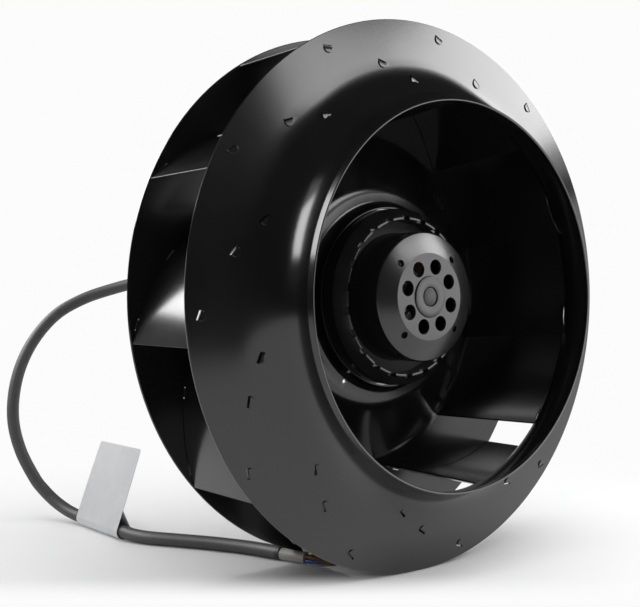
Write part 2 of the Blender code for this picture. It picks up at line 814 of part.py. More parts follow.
def make_bearing_tube(parent):
    for name, low in (("rear", REAR_BEARING_LOW), ("front", FRONT_BEARING_LOW)):
        inner = BEARING_R - BEARING_RACE_T
        turned_ring(
            f"{name}_bearing_outer_ring", tube_loop(BEARING_R, inner, low, low + BEARING_W),
            BRIGHT_STEEL, parent, steps=24)
    spacer_low = REAR_BEARING_LOW + BEARING_W + GAP
    turned_ring(
        "bearing_spacer",
        tube_loop(BEARING_R, BEARING_R - SPACER_T, spacer_low, FRONT_BEARING_LOW - GAP),
        CAST_ALUMINIUM, parent, steps=24)
    spring_high = REAR_BEARING_LOW - GAP
    turned_ring(
        "spring_washer",
        tube_loop(
            BEARING_R - GAP, CIRCLIP_R + WASHER_CLEARANCE,
            spring_high - SPRING_WASHER_T, spring_high),
        BLUED_STEEL, parent, steps=24)


def make_flange(parent):
    """The cast flange: mounting disc, cover over the rotor's rear, and bearing tube."""
    tube_top = FRONT_BEARING_LOW + BEARING_W + TUBE_PROUD
    bore = BEARING_R + GAP
    rest = REAR_BEARING_LOW - 2 * GAP - SPRING_WASHER_T
    pocket_floor = SHAFT_REAR - POCKET_CLEARANCE
    pocket_r = BEARING_R - POCKET_STEP
    points = [
        (0, pocket_floor),
        (pocket_r, pocket_floor),
        (pocket_r, rest),
        (bore, rest),
        (bore, tube_top),
        (TUBE_R, tube_top),
        (TUBE_R, FLANGE_T + TUBE_FILLET),
        (TUBE_R + TUBE_FILLET, FLANGE_T),
        (COVER_R, COVER_STEP + COVER_T),
        (COVER_R, COVER_STEP),
        (FLANGE_R, COVER_STEP - COVER_TAPER),
        (FLANGE_R, 0),
        (0, 0),
    ]
    flange = turned_solid("motor_flange", points, CAST_ALUMINIUM, parent, steps=40)
    bm = bmesh.new()
    for angle in spread(BOLT_COUNT, math.pi / 4):
        place = Matrix.Translation(polar(BOLT_CIRCLE_R, angle, 0))
        add_rod(bm, BOLT_HOLE_R, 2 * BOLT_HOLE_DEPTH, place)
    cable_place = Matrix.Translation((CABLE_HOLE_X, 0, FLANGE_T / 2))
    add_rod(bm, GLAND_NOSE_R + GAP, 4 * FLANGE_T, cable_place, segments=20)
    boolean(flange, new_cutter("flange_holes", bm, parent))
    recess = bmesh.new()
    recess_place = Matrix.Translation((CABLE_HOLE_X, 0, 0))
    add_rod(recess, GLAND_FLANGE_R + GAP, 2 * GLAND_SEAT, recess_place, segments=24)
    boolean(flange, new_cutter("gland_recess", recess, parent))


def make_gland(parent):
    """Rubber strain relief: a collar in the flange, and a tapered nose over the lead."""
    inner = CABLE_R + GAP
    low_end = GLAND_SEAT - GAP
    loop = [
        (GLAND_NOSE_R, FLANGE_T - GLAND_INSET),
        (GLAND_NOSE_R, low_end),
        (GLAND_FLANGE_R, low_end),
        (GLAND_FLANGE_R, -GLAND_HEAD),
        (GLAND_TAIL_R, -GLAND_SHOULDER),
        (inner + GLAND_LIP_T, -GLAND_REAR),
        (inner, -GLAND_REAR),
        (inner, FLANGE_T - GLAND_INSET),
    ]
    gland = turned_ring("cable_gland", loop, RUBBER, parent, steps=24)
    gland.location = (CABLE_HOLE_X * MM, 0, 0)


def smooth_route(points, step):
    """Points about a step apart on one smooth curve through the chosen points."""
    points = [Vector(point) for point in points]
    padded = [points[0] * 2 - points[1]] + points + [points[-1] * 2 - points[-2]]
    dense = []
    fine = 24
    for before, start, end, after in zip(padded, padded[1:], padded[2:], padded[3:]):
        for index in range(fine):
            t = index / fine
            dense.append(0.5 * (
                2 * start + (end - before) * t
                + (2 * before - 5 * start + 4 * end - after) * t ** 2
                + (3 * start - before - 3 * end + after) * t ** 3))
    dense.append(points[-1])
    total = sum((second - first).length for first, second in zip(dense, dense[1:]))
    count = max(2, round(total / step))
    wanted = [total * index / count for index in range(count + 1)]
    route = [dense[0]]
    walked = 0.0
    for first, second in zip(dense, dense[1:]):
        reach = (second - first).length
        while len(route) < count and walked + reach >= wanted[len(route)]:
            route.append(first.lerp(second, (wanted[len(route)] - walked) / reach))
        walked += reach
    route.append(dense[-1])
    return route


def make_tube(name, route, radius, look):
    """A round lead along a route: a curve with a round section and closed ends."""
    curve = bpy.data.curves.new(name, "CURVE")
    curve.dimensions = "3D"
    curve.bevel_depth = radius * MM
    curve.bevel_resolution = 2
    curve.use_fill_caps = True
    spline = curve.splines.new("POLY")
    spline.points.add(len(route) - 1)
    for point, place in zip(spline.points, route):
        point.co = (*(place * MM), 1)
    curve.materials.append(material(look))
    tube = bpy.data.objects.new(name, curve)
    PARTS.objects.link(tube)


def core_route(root, way, side, across, up, spread_to, reach):
    """One core: it turns under the wheel, fans out to its place and drops to the surface."""
    start = root + side * across * CORE_SPACING
    start.z += up * CORE_SPACING
    root = root + way * CORE_LEAD
    points = [start]
    for step in range(CORE_STEPS + 1):
        share = step / CORE_STEPS
        walked = reach * share
        turned = min(walked / CORE_TURN_R, CORE_TURN)
        straight = walked - turned * CORE_TURN_R
        ahead = CORE_TURN_R * math.sin(turned) + straight * math.cos(turned)
        aside = CORE_TURN_R * (1 - math.cos(turned)) + straight * math.sin(turned)
        place = across * CORE_SPACING + (spread_to - across * CORE_SPACING) * share
        inward = side * math.cos(turned) - way * math.sin(turned)
        point = root + way * ahead + side * aside + inward * place
        point.z = root.z + up * CORE_SPACING
        point.z += (FLOOR + CORE_R + GAP - point.z) * (share * share * (3 - 2 * share)) ** 2
        points.append(point)
    return points


def make_lead():
    """The cable, and at its end the inner sheath, the cores and their ferrules."""
    make_tube("cable", smooth_route(CABLE_ROUTE, CABLE_STEP), CABLE_R, CABLE_GREY)
    end = Vector(CABLE_ROUTE[-1])
    way = (end - Vector(CABLE_ROUTE[-2])).normalized()
    side = Vector((-way.y, way.x, 0))
    start = end + way * GAP
    start.z = FLOOR + SLEEVE_R + GAP
    sleeve_end = start + way * SLEEVE_LENGTH
    make_tube("cable_sleeve", [start, (start + sleeve_end) / 2, sleeve_end], SLEEVE_R, SLEEVE_GREY)
    for look, place in zip(CORE_COLOURS, CORE_PLACES):
        name = look[0]
        points = core_route(sleeve_end + way * GAP, way, side, *place)
        make_tube(name, points, CORE_R, look)
        heading = points[-1] - points[-2]
        heading.z = 0
        heading.normalize()
        tip = points[-1] + heading * 2 * GAP
        ferrule = name.replace("core", "ferrule")
        make_tube(ferrule, [tip, tip + heading * FERRULE_LENGTH], FERRULE_R, TINNED)


def teardrop(radius, leaf_x, seam_height):
    """Round a circle from a leaf that touches its near side to the seam above it."""
    reach = math.hypot(leaf_x, seam_height)
    last = math.atan2(seam_height, leaf_x) - math.acos(radius / reach)
    points = []
    for step in range(LABEL_STEPS + 1):
        angle = math.pi + (math.pi + last) * step / LABEL_STEPS
        points.append((radius * math.cos(angle), radius * math.sin(angle)))
    return points + [(leaf_x, seam_height)]


def make_label():
    """A film flag wrapped round the lead: it lies on the lead's near side and stands up."""
    first = Vector(LABEL_BACK)
    last = Vector(LABEL_FRONT)
    inner = CABLE_R + LABEL_GAP
    outer = inner + LABEL_T
    leaf_back = 2 * LABEL_T - outer
    outline = teardrop(outer, leaf_back, LABEL_SEAM_HEIGHT)
    outline += [(leaf_back, LABEL_LENGTH), (-outer, LABEL_LENGTH)]
    hole = teardrop(inner, -inner, LABEL_SEAM_HEIGHT - 2 * LABEL_T)
    curve = bpy.data.curves.new("cable_label", "CURVE")
    curve.dimensions = "2D"
    curve.fill_mode = "BOTH"
    curve.extrude = (last - first).length / 2 * MM
    for loop in (outline, hole):
        spline = curve.splines.new("POLY")
        spline.points.add(len(loop) - 1)
        for point, (across, up) in zip(spline.points, loop):
            point.co = (across * MM, up * MM, 0, 1)
        spline.use_cyclic_u = True
    curve.materials.append(material(LABEL_WHITE))
    label = bpy.data.objects.new("cable_label", curve)
    PARTS.objects.link(label)
    way = (last - first).normalized()
    turn_up = Matrix.Rotation(math.pi / 2, 4, "X")
    heading = Matrix.Rotation(math.atan2(way.x, -way.y), 4, "Z")
    lean = Matrix.Rotation(LABEL_TILT, 4, "Y")
    label.matrix_world = Matrix.Translation((first + last) / 2 * MM) @ heading @ lean @ turn_up
    bpy.context.view_layer.update()
    baked(label)


clear_scene()
PARTS = make_collection("plug_fan")
CUTTERS = make_collection("cutters")
stator_frame = make_empty("stator_frame", PARTS)
rotor_axis = make_empty("rotor_axis", PARTS)
make_flange(stator_frame)
make_stator(stator_frame)
make_gland(stator_frame)
make_rotor(rotor_axis)
make_back_plate(rotor_axis)
make_front_shroud(rotor_axis)
make_blades(rotor_axis)
make_lead()
make_label()
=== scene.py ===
# %% [markdown]
# # Dressing a plug fan
# The fan is a wheel of painted sheet steel on a motor whose outer cup turns with it. The
# frame brings the working model: its bodies, its joint and one mesh for each part. Here
# each visible part gets the fine shape and the finish that a picture needs, in its place.

# %% Load the frame
import math

import bmesh
import bpy
from mathutils import Matrix, Vector


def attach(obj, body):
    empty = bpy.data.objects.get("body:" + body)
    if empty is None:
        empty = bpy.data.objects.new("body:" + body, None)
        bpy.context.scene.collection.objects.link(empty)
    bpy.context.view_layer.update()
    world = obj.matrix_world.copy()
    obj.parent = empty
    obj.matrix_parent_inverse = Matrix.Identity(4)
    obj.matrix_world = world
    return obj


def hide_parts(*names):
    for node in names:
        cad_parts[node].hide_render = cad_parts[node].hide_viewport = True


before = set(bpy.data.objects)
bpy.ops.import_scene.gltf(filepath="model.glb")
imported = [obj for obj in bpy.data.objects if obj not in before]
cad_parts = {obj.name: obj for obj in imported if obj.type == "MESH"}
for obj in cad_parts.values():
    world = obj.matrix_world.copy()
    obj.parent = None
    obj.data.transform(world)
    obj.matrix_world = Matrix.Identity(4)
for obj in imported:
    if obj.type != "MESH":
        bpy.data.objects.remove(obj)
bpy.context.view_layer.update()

MM = 0.001

# %% [markdown]
# ## The camera
# The view looks a little from the left into the inlet, almost level. A camera is three
# directions and a place: writing them as a matrix keeps it exactly on the picture's angle.

# %% Camera
to_right = Vector((0.78213, -0.62311, 0.0))
to_top = Vector((0.00388, 0.00487, 0.99998))
eye = Vector((-461.74, -565.99, -0.23)) * MM

lens = bpy.data.cameras.new("camera")
lens.sensor_fit = "HORIZONTAL"
lens.sensor_width = 36.0
lens.lens = 57.08
camera = bpy.data.objects.new("camera", lens)
turned_to = Matrix((to_right, to_top, to_right.cross(to_top))).transposed().to_4x4()
camera.matrix_world = Matrix.Translation(eye) @ turned_to
bpy.context.scene.collection.objects.link(camera)
bpy.context.scene.camera = camera
print("camera stands", round(eye.length, 3), "m from the motor's face")

# %% [markdown]
# ## The lead's route
# The lead is a stiff round cable with four cores. It leaves the motor's rear face, bows out
# to the left, comes down to the table and runs forward under the wheel. A few chosen points
# are joined by one smooth curve, because a real cable has no corners.

# %% Route of the lead
CABLE_R = 4.7
FLOOR = -177.5
FILM = 0.4
LABEL_GAP = 0.8
REST = FLOOR + CABLE_R
LABEL_REST = REST + LABEL_GAP + FILM + 0.1
LABEL_BACK = Vector((-114.2, 166.0, LABEL_REST))
LABEL_FRONT = Vector((-112.3, 103.0, LABEL_REST))
LEAD_POINTS = (
    (-28.0, -8.0, 0.0), (-28.0, 16.4, 0.0), (-28.0, 40.8, 0.0), (-28.5, 65.2, 1.2),
    (-29.9, 89.3, 4.2), (-32.6, 113.3, 8.3), (-37.4, 136.9, 11.9), (-45.2, 159.9, 13.7),
    (-56.8, 181.2, 12.0), (-72.4, 199.0, 6.5), (-91.2, 212.2, -1.4), (-110.5, 220.4, -13.4),
    (-126.8, 224.0, -31.1), (-139.1, 224.6, -52.2), (-146.4, 223.3, -75.4),
    (-148.3, 220.8, -99.6), (-144.0, 216.3, -123.1), (-135.6, 208.6, -144.7),
    (-130.4, 202.7, -154.0), (-125.1, 195.0, -161.7), (-120.3, 185.7, -167.3),
    (-116.5, 175.0, -170.6), LABEL_BACK, (-113.6, 150.0, LABEL_REST),
    (-113.1, 134.0, LABEL_REST), (-112.7, 118.0, LABEL_REST), LABEL_FRONT,
    (-110.0, 92.2, REST + 0.3), (-105.6, 81.1, REST), (-99.6, 70.7, REST), (-86.2, 50.4, REST),
    (-73.8, 29.6, REST), (-63.7, 7.7, REST), (-56.4, -15.4, REST),
)


def smooth_route(points, per_span=8):
    """Points along one smooth curve that passes through every chosen point."""
    points = [Vector(point) for point in points]
    points = [points[0] * 2 - points[1], *points, points[-1] * 2 - points[-2]]
    route = []
    for before, start, end, after in zip(points, points[1:], points[2:], points[3:]):
        for index in range(per_span):
            t = index / per_span
            route.append(0.5 * (
                2 * start + (end - before) * t
                + (2 * before - 5 * start + 4 * end - after) * t ** 2
                + (3 * start - before - 3 * end + after) * t ** 3))
    return route + [points[-2]]


def length_of(route):
    return sum((second - first).length for first, second in zip(route, route[1:]))


lead_route = smooth_route(LEAD_POINTS)
print("lead:", round(length_of(lead_route)), "mm")

# %% [markdown]
# ## Tubes along a route
# A curve with a round bevel is the plainest way to sheathe a route: it stays a curve of one
# open line, so the lead can still be laid another way later. The thickness is written at
# the points and the bevel is one metre, because Blender reckons a curve's box from its
# points' radii.


# %% Tube along a route
def tube(name, route, radius, sides=6):
    curve = bpy.data.curves.new(name, "CURVE")
    curve.dimensions = "3D"
    curve.bevel_depth = 1.0
    curve.bevel_resolution = sides
    curve.use_fill_caps = True
    line = curve.splines.new("POLY")
    line.points.add(len(route) - 1)
    for point, place in zip(line.points, route):
        point.co = (*(place * MM), 1)
        point.radius = radius * MM
    made = bpy.data.objects.new(name, curve)
    bpy.context.scene.collection.objects.link(made)
    return made


lead = tube("lead", lead_route, CABLE_R)
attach(lead, "stator")
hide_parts("cable")

# %% [markdown]
# ## The lead's bared end
# The outer sheath is cut back. A pale inner sheath shows first, and then the four cores turn
# in under the wheel and fan out on the table, each crimped in a tinned ferrule. Only the
# first few millimetres can be seen past the rim, but the rest shows from below.

# %% Inner sheath and cores
GAP = 0.3
SLEEVE_R = 4.0
SLEEVE_LENGTH = 20.0
CORE_R = 1.3
CORE_SPACING = 1.4
CORES = (
    ("core_brown", -1, 1, -6.2, 14.4),
    ("core_blue", -1, -1, -1.8, 15.4),
    ("core_black", 1, -1, 1.7, 14.0),
    ("core_green_yellow", 1, 1, 6.0, 13.4),
)
CORE_LEAD = 1.5
CORE_TURN, CORE_TURN_R = math.radians(88.0), 9.5
FERRULE_LENGTH = 7.0

lead_end = Vector(LEAD_POINTS[-1])
lead_way = (lead_end - Vector(LEAD_POINTS[-2])).normalized()
lead_side = Vector((-lead_way.y, lead_way.x, 0))
sleeve_start = lead_end + lead_way * GAP
sleeve_start.z = FLOOR + SLEEVE_R + GAP
sleeve_end = sleeve_start + lead_way * SLEEVE_LENGTH
sleeve_route = [sleeve_start.lerp(sleeve_end, step / 6) for step in range(7)]
sleeve = tube("lead_inner_sheath", sleeve_route, SLEEVE_R)
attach(sleeve, "stator")
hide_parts("cable_sleeve")


def core_route(across, up, spread_to, reach, steps=14):
    """One core: round a bend under the wheel, sideways to its place, down to the table."""
    start = sleeve_end + lead_way * GAP + lead_side * across * CORE_SPACING
    start.z += up * CORE_SPACING
    root = sleeve_end + lead_way * (GAP + CORE_LEAD)
    route = [start]
    for step in range(steps + 1):
        share = step / steps
        turned_by = min(reach * share / CORE_TURN_R, CORE_TURN)
        past = reach * share - turned_by * CORE_TURN_R
        ahead = CORE_TURN_R * math.sin(turned_by) + past * math.cos(turned_by)
        aside = CORE_TURN_R * (1 - math.cos(turned_by)) + past * math.sin(turned_by)
        inward = lead_side * math.cos(turned_by) - lead_way * math.sin(turned_by)
        place = across * CORE_SPACING + (spread_to - across * CORE_SPACING) * share
        point = root + lead_way * ahead + lead_side * aside + inward * place
        point.z = start.z
        point.z += (FLOOR + CORE_R + GAP - start.z) * (share * share * (3 - 2 * share)) ** 2
        route.append(point)
    return route


cores, ferrule_lines = [], []
for name, *numbers in CORES:
    route = core_route(*numbers)
    core = tube("lead_" + name, route, CORE_R, sides=3)
    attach(core, "stator")
    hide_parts(name)
    cores.append(core)
    heading = (route[-1] - route[-2]).normalized()
    ferrule_lines.append((name.replace("core", "ferrule"), route[-1], heading))
print("cores:", [core.name for core in cores])

# %% [markdown]
# ## Making a piece
# Every new piece is shaped in millimetres about the fan's own axis, with local Z out of the
# inlet, as it would be set up on a lathe. One helper then lays it into the frame, where the
# axis runs along -Y, and says which body carries it and which plain part it stands for.

# %% Helpers for pieces
INTO_FRAME = Matrix.Rotation(math.pi / 2, 4, "X") @ Matrix.Scale(MM, 4)


def smooth(thing, angle=35.0):
    thing.data.shade_smooth()
    thing.data.set_sharp_from_angle(angle=math.radians(angle))


def finished(name, bm, body, nodes=(), sheet=0.0, edge=0.0, frame_matrix=INTO_FRAME):
    """Turn a shape into a named piece, with its sheet thickness and its rounded edges."""
    bmesh.ops.recalc_face_normals(bm, faces=bm.faces)
    bmesh.ops.transform(bm, matrix=frame_matrix, verts=bm.verts)
    mesh = bpy.data.meshes.new(name)
    bm.to_mesh(mesh)
    bm.free()
    piece = bpy.data.objects.new(name, mesh)
    bpy.context.scene.collection.objects.link(piece)
    if sheet:
        solidify = piece.modifiers.new("sheet", "SOLIDIFY")
        solidify.thickness = sheet * MM
        solidify.offset = 0
    if edge:
        bevel = piece.modifiers.new("edge", "BEVEL")
        bevel.width = edge * MM
        bevel.segments = 2
        bevel.limit_method = "ANGLE"
        bevel.angle_limit = math.radians(50)
        bevel.harden_normals = True
    smooth(piece)
    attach(piece, body)
    if nodes:
        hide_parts(*nodes)
    return piece


def verts_of(made):
    """The vertices among what an operator says it made."""
    return [item for item in made if isinstance(item, bmesh.types.BMVert)]


def turned(section, steps=176, closed=True):
    """Spin a section of (radius, height) points about the fan's axis."""
    bm = bmesh.new()
    verts = [bm.verts.new((radius, 0, height)) for radius, height in section]
    edges = [bm.edges.new(pair) for pair in zip(verts, verts[1:])]
    if closed:
        edges.append(bm.edges.new((verts[-1], verts[0])))
    bmesh.ops.spin(
        bm, geom=verts + edges, cent=(0, 0, 0), axis=(0, 0, 1), dvec=(0, 0, 0),
        angle=2 * math.pi, steps=steps, use_merge=True, use_duplicate=False)
    bmesh.ops.remove_doubles(bm, verts=bm.verts, dist=0.0001)
    return bm


def rounded(points, radii, steps=6):
    """Round the inner corners of a line of points, each with its own radius."""
    line = [Vector(points[0])]
    for before, corner, after, radius in zip(points, points[1:], points[2:], radii):
        corner = Vector(corner)
        if radius <= 0:
            line.append(corner)
            continue
        back = (Vector(before) - corner).normalized()
        ahead = (Vector(after) - corner).normalized()
        half = back.angle(ahead) / 2
        centre = corner + (back + ahead).normalized() * radius / math.sin(half)
        start = corner + back * radius / math.tan(half) - centre
        sweep = -start.angle_signed(corner + ahead * radius / math.tan(half) - centre)
        for step in range(steps + 1):
            turn = Matrix.Rotation(sweep * step / steps, 2)
            line.append(centre + turn @ start)
    line.append(Vector(points[-1]))
    return line


def offset_line(line, distance):
    """The line moved to its right-hand side, as the back of a sheet is from its front."""
    moved = []
    for index, point in enumerate(line):
        way = (line[min(index + 1, len(line) - 1)] - line[max(index - 1, 0)]).normalized()
        moved.append(point - Vector((-way.y, way.x)) * distance)
    return moved


def sheet_section(line, thickness, chamfer=0.4):
    """Close a line into a sheet's section, with its cut edges broken."""
    back = offset_line(line, thickness)
    loop = []
    for front_end, back_end, next_front, next_back in (
            (line[0], back[0], line[1], back[1]), (line[-1], back[-1], line[-2], back[-2])):
        across = (back_end - front_end).normalized() * chamfer
        loop.append((
            front_end + (next_front - front_end).normalized() * chamfer, front_end + across,
            back_end - across, back_end + (next_back - back_end).normalized() * chamfer))
    first, last = loop
    return [*line[1:-1], *last, *reversed(back[1:-1]), *reversed(first)]


def polar(radius, angle, height=0.0):
    """A point seen from the inlet: the angle runs clockwise from straight up."""
    return Vector((radius * math.sin(angle), radius * math.cos(angle), height))


def spread(count, phase=0.0):
    return [phase + 2 * math.pi * index / count for index in range(count)]


def facing(angle):
    return Matrix.Rotation(-angle, 4, "Z")


# %% [markdown]
# ## Cutting
# Slots and drilled holes are cut with a tool, as in the workshop: the tool is a set of
# blocks and rods, and a Boolean takes it out of the piece before the mesh is kept.


# %% Cutting with a tool
def cut(piece, tool):
    """Take the tool's blocks and rods out of the piece."""
    bmesh.ops.transform(tool, matrix=INTO_FRAME, verts=tool.verts)
    tool_mesh = bpy.data.meshes.new("tool")
    bmesh.ops.recalc_face_normals(tool, faces=tool.faces)
    tool.to_mesh(tool_mesh)
    tool.free()
    holder = bpy.data.objects.new("tool", tool_mesh)
    bpy.context.scene.collection.objects.link(holder)
    boolean = piece.modifiers.new("cut", "BOOLEAN")
    boolean.operation = "DIFFERENCE"
    boolean.object = holder
    graph = bpy.context.evaluated_depsgraph_get()
    mesh = bpy.data.meshes.new_from_object(piece.evaluated_get(graph))
    piece.modifiers.clear()
    piece.data = mesh
    bpy.data.objects.remove(holder)
    smooth(piece)
    print(piece.name, "has", len(mesh.polygons), "faces after cutting")


def add_block(tool, size, place):
    bmesh.ops.create_cube(tool, size=1, matrix=place @ Matrix.Diagonal((*size, 1)))


def add_rod(tool, radius, depth, place, end_radius=None, segments=32):
    bmesh.ops.create_cone(
        tool, cap_ends=True, segments=segments, radius1=radius,
        radius2=radius if end_radius is None else end_radius, depth=depth, matrix=place)


# %% [markdown]
# ## The blade's curve
# A backward-curved blade leans away from the way the wheel turns. In plan it is one arc of a
# circle, so a place on it is found by turning a little way round that circle from the tip.

# %% Blade geometry
BLADE_COUNT = 11
BLADE_T = 1.2
BLADE_TIP_R = 176.5
BLADE_ROOT_R = 120.0
BLADE_FRONT_ROOT_R = 124.0
BLADE_ARC_R = 135.5
OUTLET = math.radians(22.5)
BLADE_PHASE = math.radians(-1.0)

tip = Vector((0, BLADE_TIP_R))
arc_centre = tip - BLADE_ARC_R * Vector((math.sin(OUTLET), math.cos(OUTLET)))


def on_blade(turned_by):
    """Place and heading on the arc, after turning from the tip towards the root."""
    angle = OUTLET + turned_by
    return (arc_centre + BLADE_ARC_R * Vector((math.sin(angle), math.cos(angle))),
            Vector((math.cos(angle), -math.sin(angle))))


def turn_at(radius):
    """How far the arc has turned where it crosses a radius, found by halving."""
    low, high = 0.0, math.radians(75)
    for _ in range(40):
        middle = (low + high) / 2
        if on_blade(middle)[0].length > radius:
            low = middle
        else:
            high = middle
    return low


print("a blade turns", round(math.degrees(turn_at(BLADE_ROOT_R)), 1), "degrees from tip to root")

# %% [markdown]
# ## The inlet shroud
# The front of the wheel is one spun sheet: a flat cone at the rim, a wide bend, and a neck
# that ends in a slightly drawn-in lip. It is turned from its section in many fine steps, so
# that the paint's reflection runs round it without a break.

# %% Shroud section
WHEEL_R = 177.5
SHEET = 1.5
SHROUD_HEIGHT = 92.0
CONE = math.radians(10.6)
NECK_R = 122.4
NECK_TAPER = 0.9
LIP_HEIGHT = 4.0
corner_r = NECK_R + NECK_TAPER
corner_z = SHROUD_HEIGHT + (WHEEL_R - corner_r) * math.tan(CONE)
rim_z = SHROUD_HEIGHT + 40.8
shroud_line = rounded(
    [(NECK_R - NECK_TAPER, rim_z), (NECK_R, rim_z - LIP_HEIGHT), (corner_r, corner_z),
     (WHEEL_R, SHROUD_HEIGHT)],
    (7.0, 30.5), steps=9)
rim_start = shroud_line[-2]
shroud_line[-1:] = [rim_start.lerp(shroud_line[-1], step / 5) for step in range(1, 6)]
shroud_back = offset_line(shroud_line, SHEET)


def under_shroud(radius):
    """Height of the shroud's inner face at a radius."""
    for first, second in zip(shroud_back, shroud_back[1:]):
        if first.x <= radius <= second.x:
            return first.y + (second.y - first.y) * (radius - first.x) / (second.x - first.x)
    return shroud_back[-1].y


front_shroud = finished(
    "inlet_shroud", turned(sheet_section(shroud_line, SHEET)), "rotor",
    ["front_shroud"])

# %% [markdown]
# ## Slots for the blades' tabs
# Each blade has three tabs along its front edge and three along its rear edge. They pass
# through slots in the two sheets and are folded over, which leaves a dark bar beside a
# flat, D-shaped flap. The front slots are cut a little wider on their open side.

# %% Slots
TAB_LENGTH = 6.2
SLOT_PLAY = 0.6
CUT_DEPTH = 8 * SHEET
FRONT_SLOT, REAR_SLOT = (-0.8, 1.6), (-0.8, 0.8)
FRONT_TAB_RADII = (169.0, 150.4, 137.8)
REAR_TAB_RADII = (171.8, 150.4, 130.0)


def add_slot(tool, radius, angle, height, sides):
    point, way = on_blade(turn_at(radius))
    place = facing(angle) @ Matrix.Translation((point.x, point.y, height))
    place = place @ Matrix.Rotation(math.atan2(way.y, way.x), 4, "Z")
    middle = Matrix.Translation((0, sum(sides) / 2, 0))
    add_block(tool, (TAB_LENGTH + SLOT_PLAY, sides[1] - sides[0], CUT_DEPTH), place @ middle)


tool = bmesh.new()
for angle in spread(BLADE_COUNT, BLADE_PHASE):
    for radius in FRONT_TAB_RADII:
        add_slot(tool, radius, angle, under_shroud(radius), FRONT_SLOT)
cut(front_shroud, tool)

# %% [markdown]
# ## The back plate
# The second sheet is flat under the blades, rises in a cone towards the motor and ends in a
# short collar that holds the rotor. One small hole near the collar lets water out.

# %% Back plate
ROTOR_R = 58.6
DRAIN_R = 1.5
PLATE_HEIGHT = 27.2
COLLAR_R = ROTOR_R + GAP + SHEET
LAND_Z = PLATE_HEIGHT + 26.8
plate_line = rounded(
    [(COLLAR_R, LAND_Z + 9.0), (COLLAR_R, LAND_Z), (74.0, LAND_Z), (116.0, PLATE_HEIGHT),
     (WHEEL_R, PLATE_HEIGHT)],
    (5.0, 14.0, 14.0), steps=7)
flat_start = plate_line[-2]
plate_line[-1:] = [flat_start.lerp(plate_line[-1], step / 6) for step in range(1, 7)]
back_plate = finished(
    "wheel_back_plate", turned(sheet_section(plate_line, SHEET)), "rotor",
    ["back_plate"])

tool = bmesh.new()
for angle in spread(BLADE_COUNT, BLADE_PHASE):
    for radius in REAR_TAB_RADII:
        add_slot(tool, radius, angle, PLATE_HEIGHT, REAR_SLOT)
drain = polar(COLLAR_R + 4.4, math.radians(-149.0), LAND_Z)
add_rod(tool, DRAIN_R, CUT_DEPTH, Matrix.Translation(drain), segments=20)
cut(back_plate, tool)

# %% [markdown]
# ## One blade
# The arc is swept by spinning a single point about its centre, and the line is then pulled
# up into a wall whose top follows the shroud's underside. Its leading edge leans, because
# the sheet ends at a slightly larger radius at the front than at the back.

# %% Blade wall
WALL_STEPS = 22


def blade_wall(bm):
    """The blade without its tabs, as a surface along the middle of the sheet."""
    whole = turn_at(BLADE_ROOT_R)
    front_share = turn_at(BLADE_FRONT_ROOT_R) / whole
    low = PLATE_HEIGHT + GAP
    start = bm.verts.new((*tip, low))
    bmesh.ops.spin(
        bm, geom=[start], cent=(*arc_centre, low), axis=(0, 0, 1), dvec=(0, 0, 0),
        angle=-whole, steps=WALL_STEPS)
    rear_edges = [edge for edge in bm.edges]
    made = bmesh.ops.extrude_edge_only(bm, edges=rear_edges)["geom"]
    for vert in verts_of(made):
        out = Vector(vert.co.xy) - arc_centre
        turned_by = math.atan2(out.x, out.y) - OUTLET
        point, _ = on_blade(turned_by * front_share)
        vert.co = (*point, under_shroud(point.length) - 2 * GAP)


# %% [markdown]
# ## The folded tabs
# A tab comes up through its slot, is folded over and pressed flat into the sheet, and its
# free end is rounded. The strip is grown from one edge: the first extrusion reaches the
# fold, and the next ones lie flat and draw the end in.

# %% Folded tabs
FLAP = 3.2
FLAP_HEIGHT = 0.15
TAB_FOOT = 0.5
FLAP_OUTLINE = ((0, 1.0), (0.35, 0.97), (0.6, 0.84), (0.8, 0.64), (1.0, 0.3))


def add_tab(bm, radius, foot, face, upward, slope):
    """A tab from the blade's edge at height foot, folded over the sheet's face."""
    point, way = on_blade(turn_at(radius))
    inward = Vector((way.y, -way.x, 0))
    along = Vector((way.x, way.y, 0)) * TAB_LENGTH / 2
    centre = Vector((point.x, point.y, foot))
    ends = [bm.verts.new(centre - along), bm.verts.new(centre + along)]
    edge = bm.edges.new(ends)
    height = face + upward * FLAP_HEIGHT
    for share, width in FLAP_OUTLINE:
        aside = FLAP * share
        made = bmesh.ops.extrude_edge_only(bm, edges=[edge])["geom"]
        edge = next(item for item in made if isinstance(item, bmesh.types.BMEdge) and all(
            vert in made for vert in item.verts))
        middle = Vector((point.x, point.y, 0)) + inward * aside
        radial = Vector((point.x, point.y, 0)).normalized()
        tilt = slope * inward.dot(radial) * aside
        for vert in edge.verts:
            reach = width if (vert.co - centre).dot(along) > 0 else -width
            place = middle + along * reach
            lean = slope * along.dot(radial) * reach
            vert.co = Vector((place.x, place.y, height + tilt + lean))


def blade_mesh():
    bm = bmesh.new()
    blade_wall(bm)
    for radius in FRONT_TAB_RADII:
        inner = under_shroud(radius)
        add_tab(bm, radius, inner - TAB_FOOT, inner + SHEET, 1, -math.tan(CONE))
    for radius in REAR_TAB_RADII:
        add_tab(bm, radius, PLATE_HEIGHT + TAB_FOOT, PLATE_HEIGHT - SHEET, -1, 0.0)
    return bm


blades = []
for index, angle in enumerate(spread(BLADE_COUNT, BLADE_PHASE)):
    bm = blade_mesh()
    bmesh.ops.transform(bm, matrix=facing(angle), verts=bm.verts)
    blades.append(finished(
        f"wheel_blade_{index + 1:02d}", bm, "rotor", [f"blade_{index + 1:02d}"],
        sheet=BLADE_T, edge=0.3))
print(len(blades), "blades,", len(blades[0].data.polygons), "faces each before their sheet")

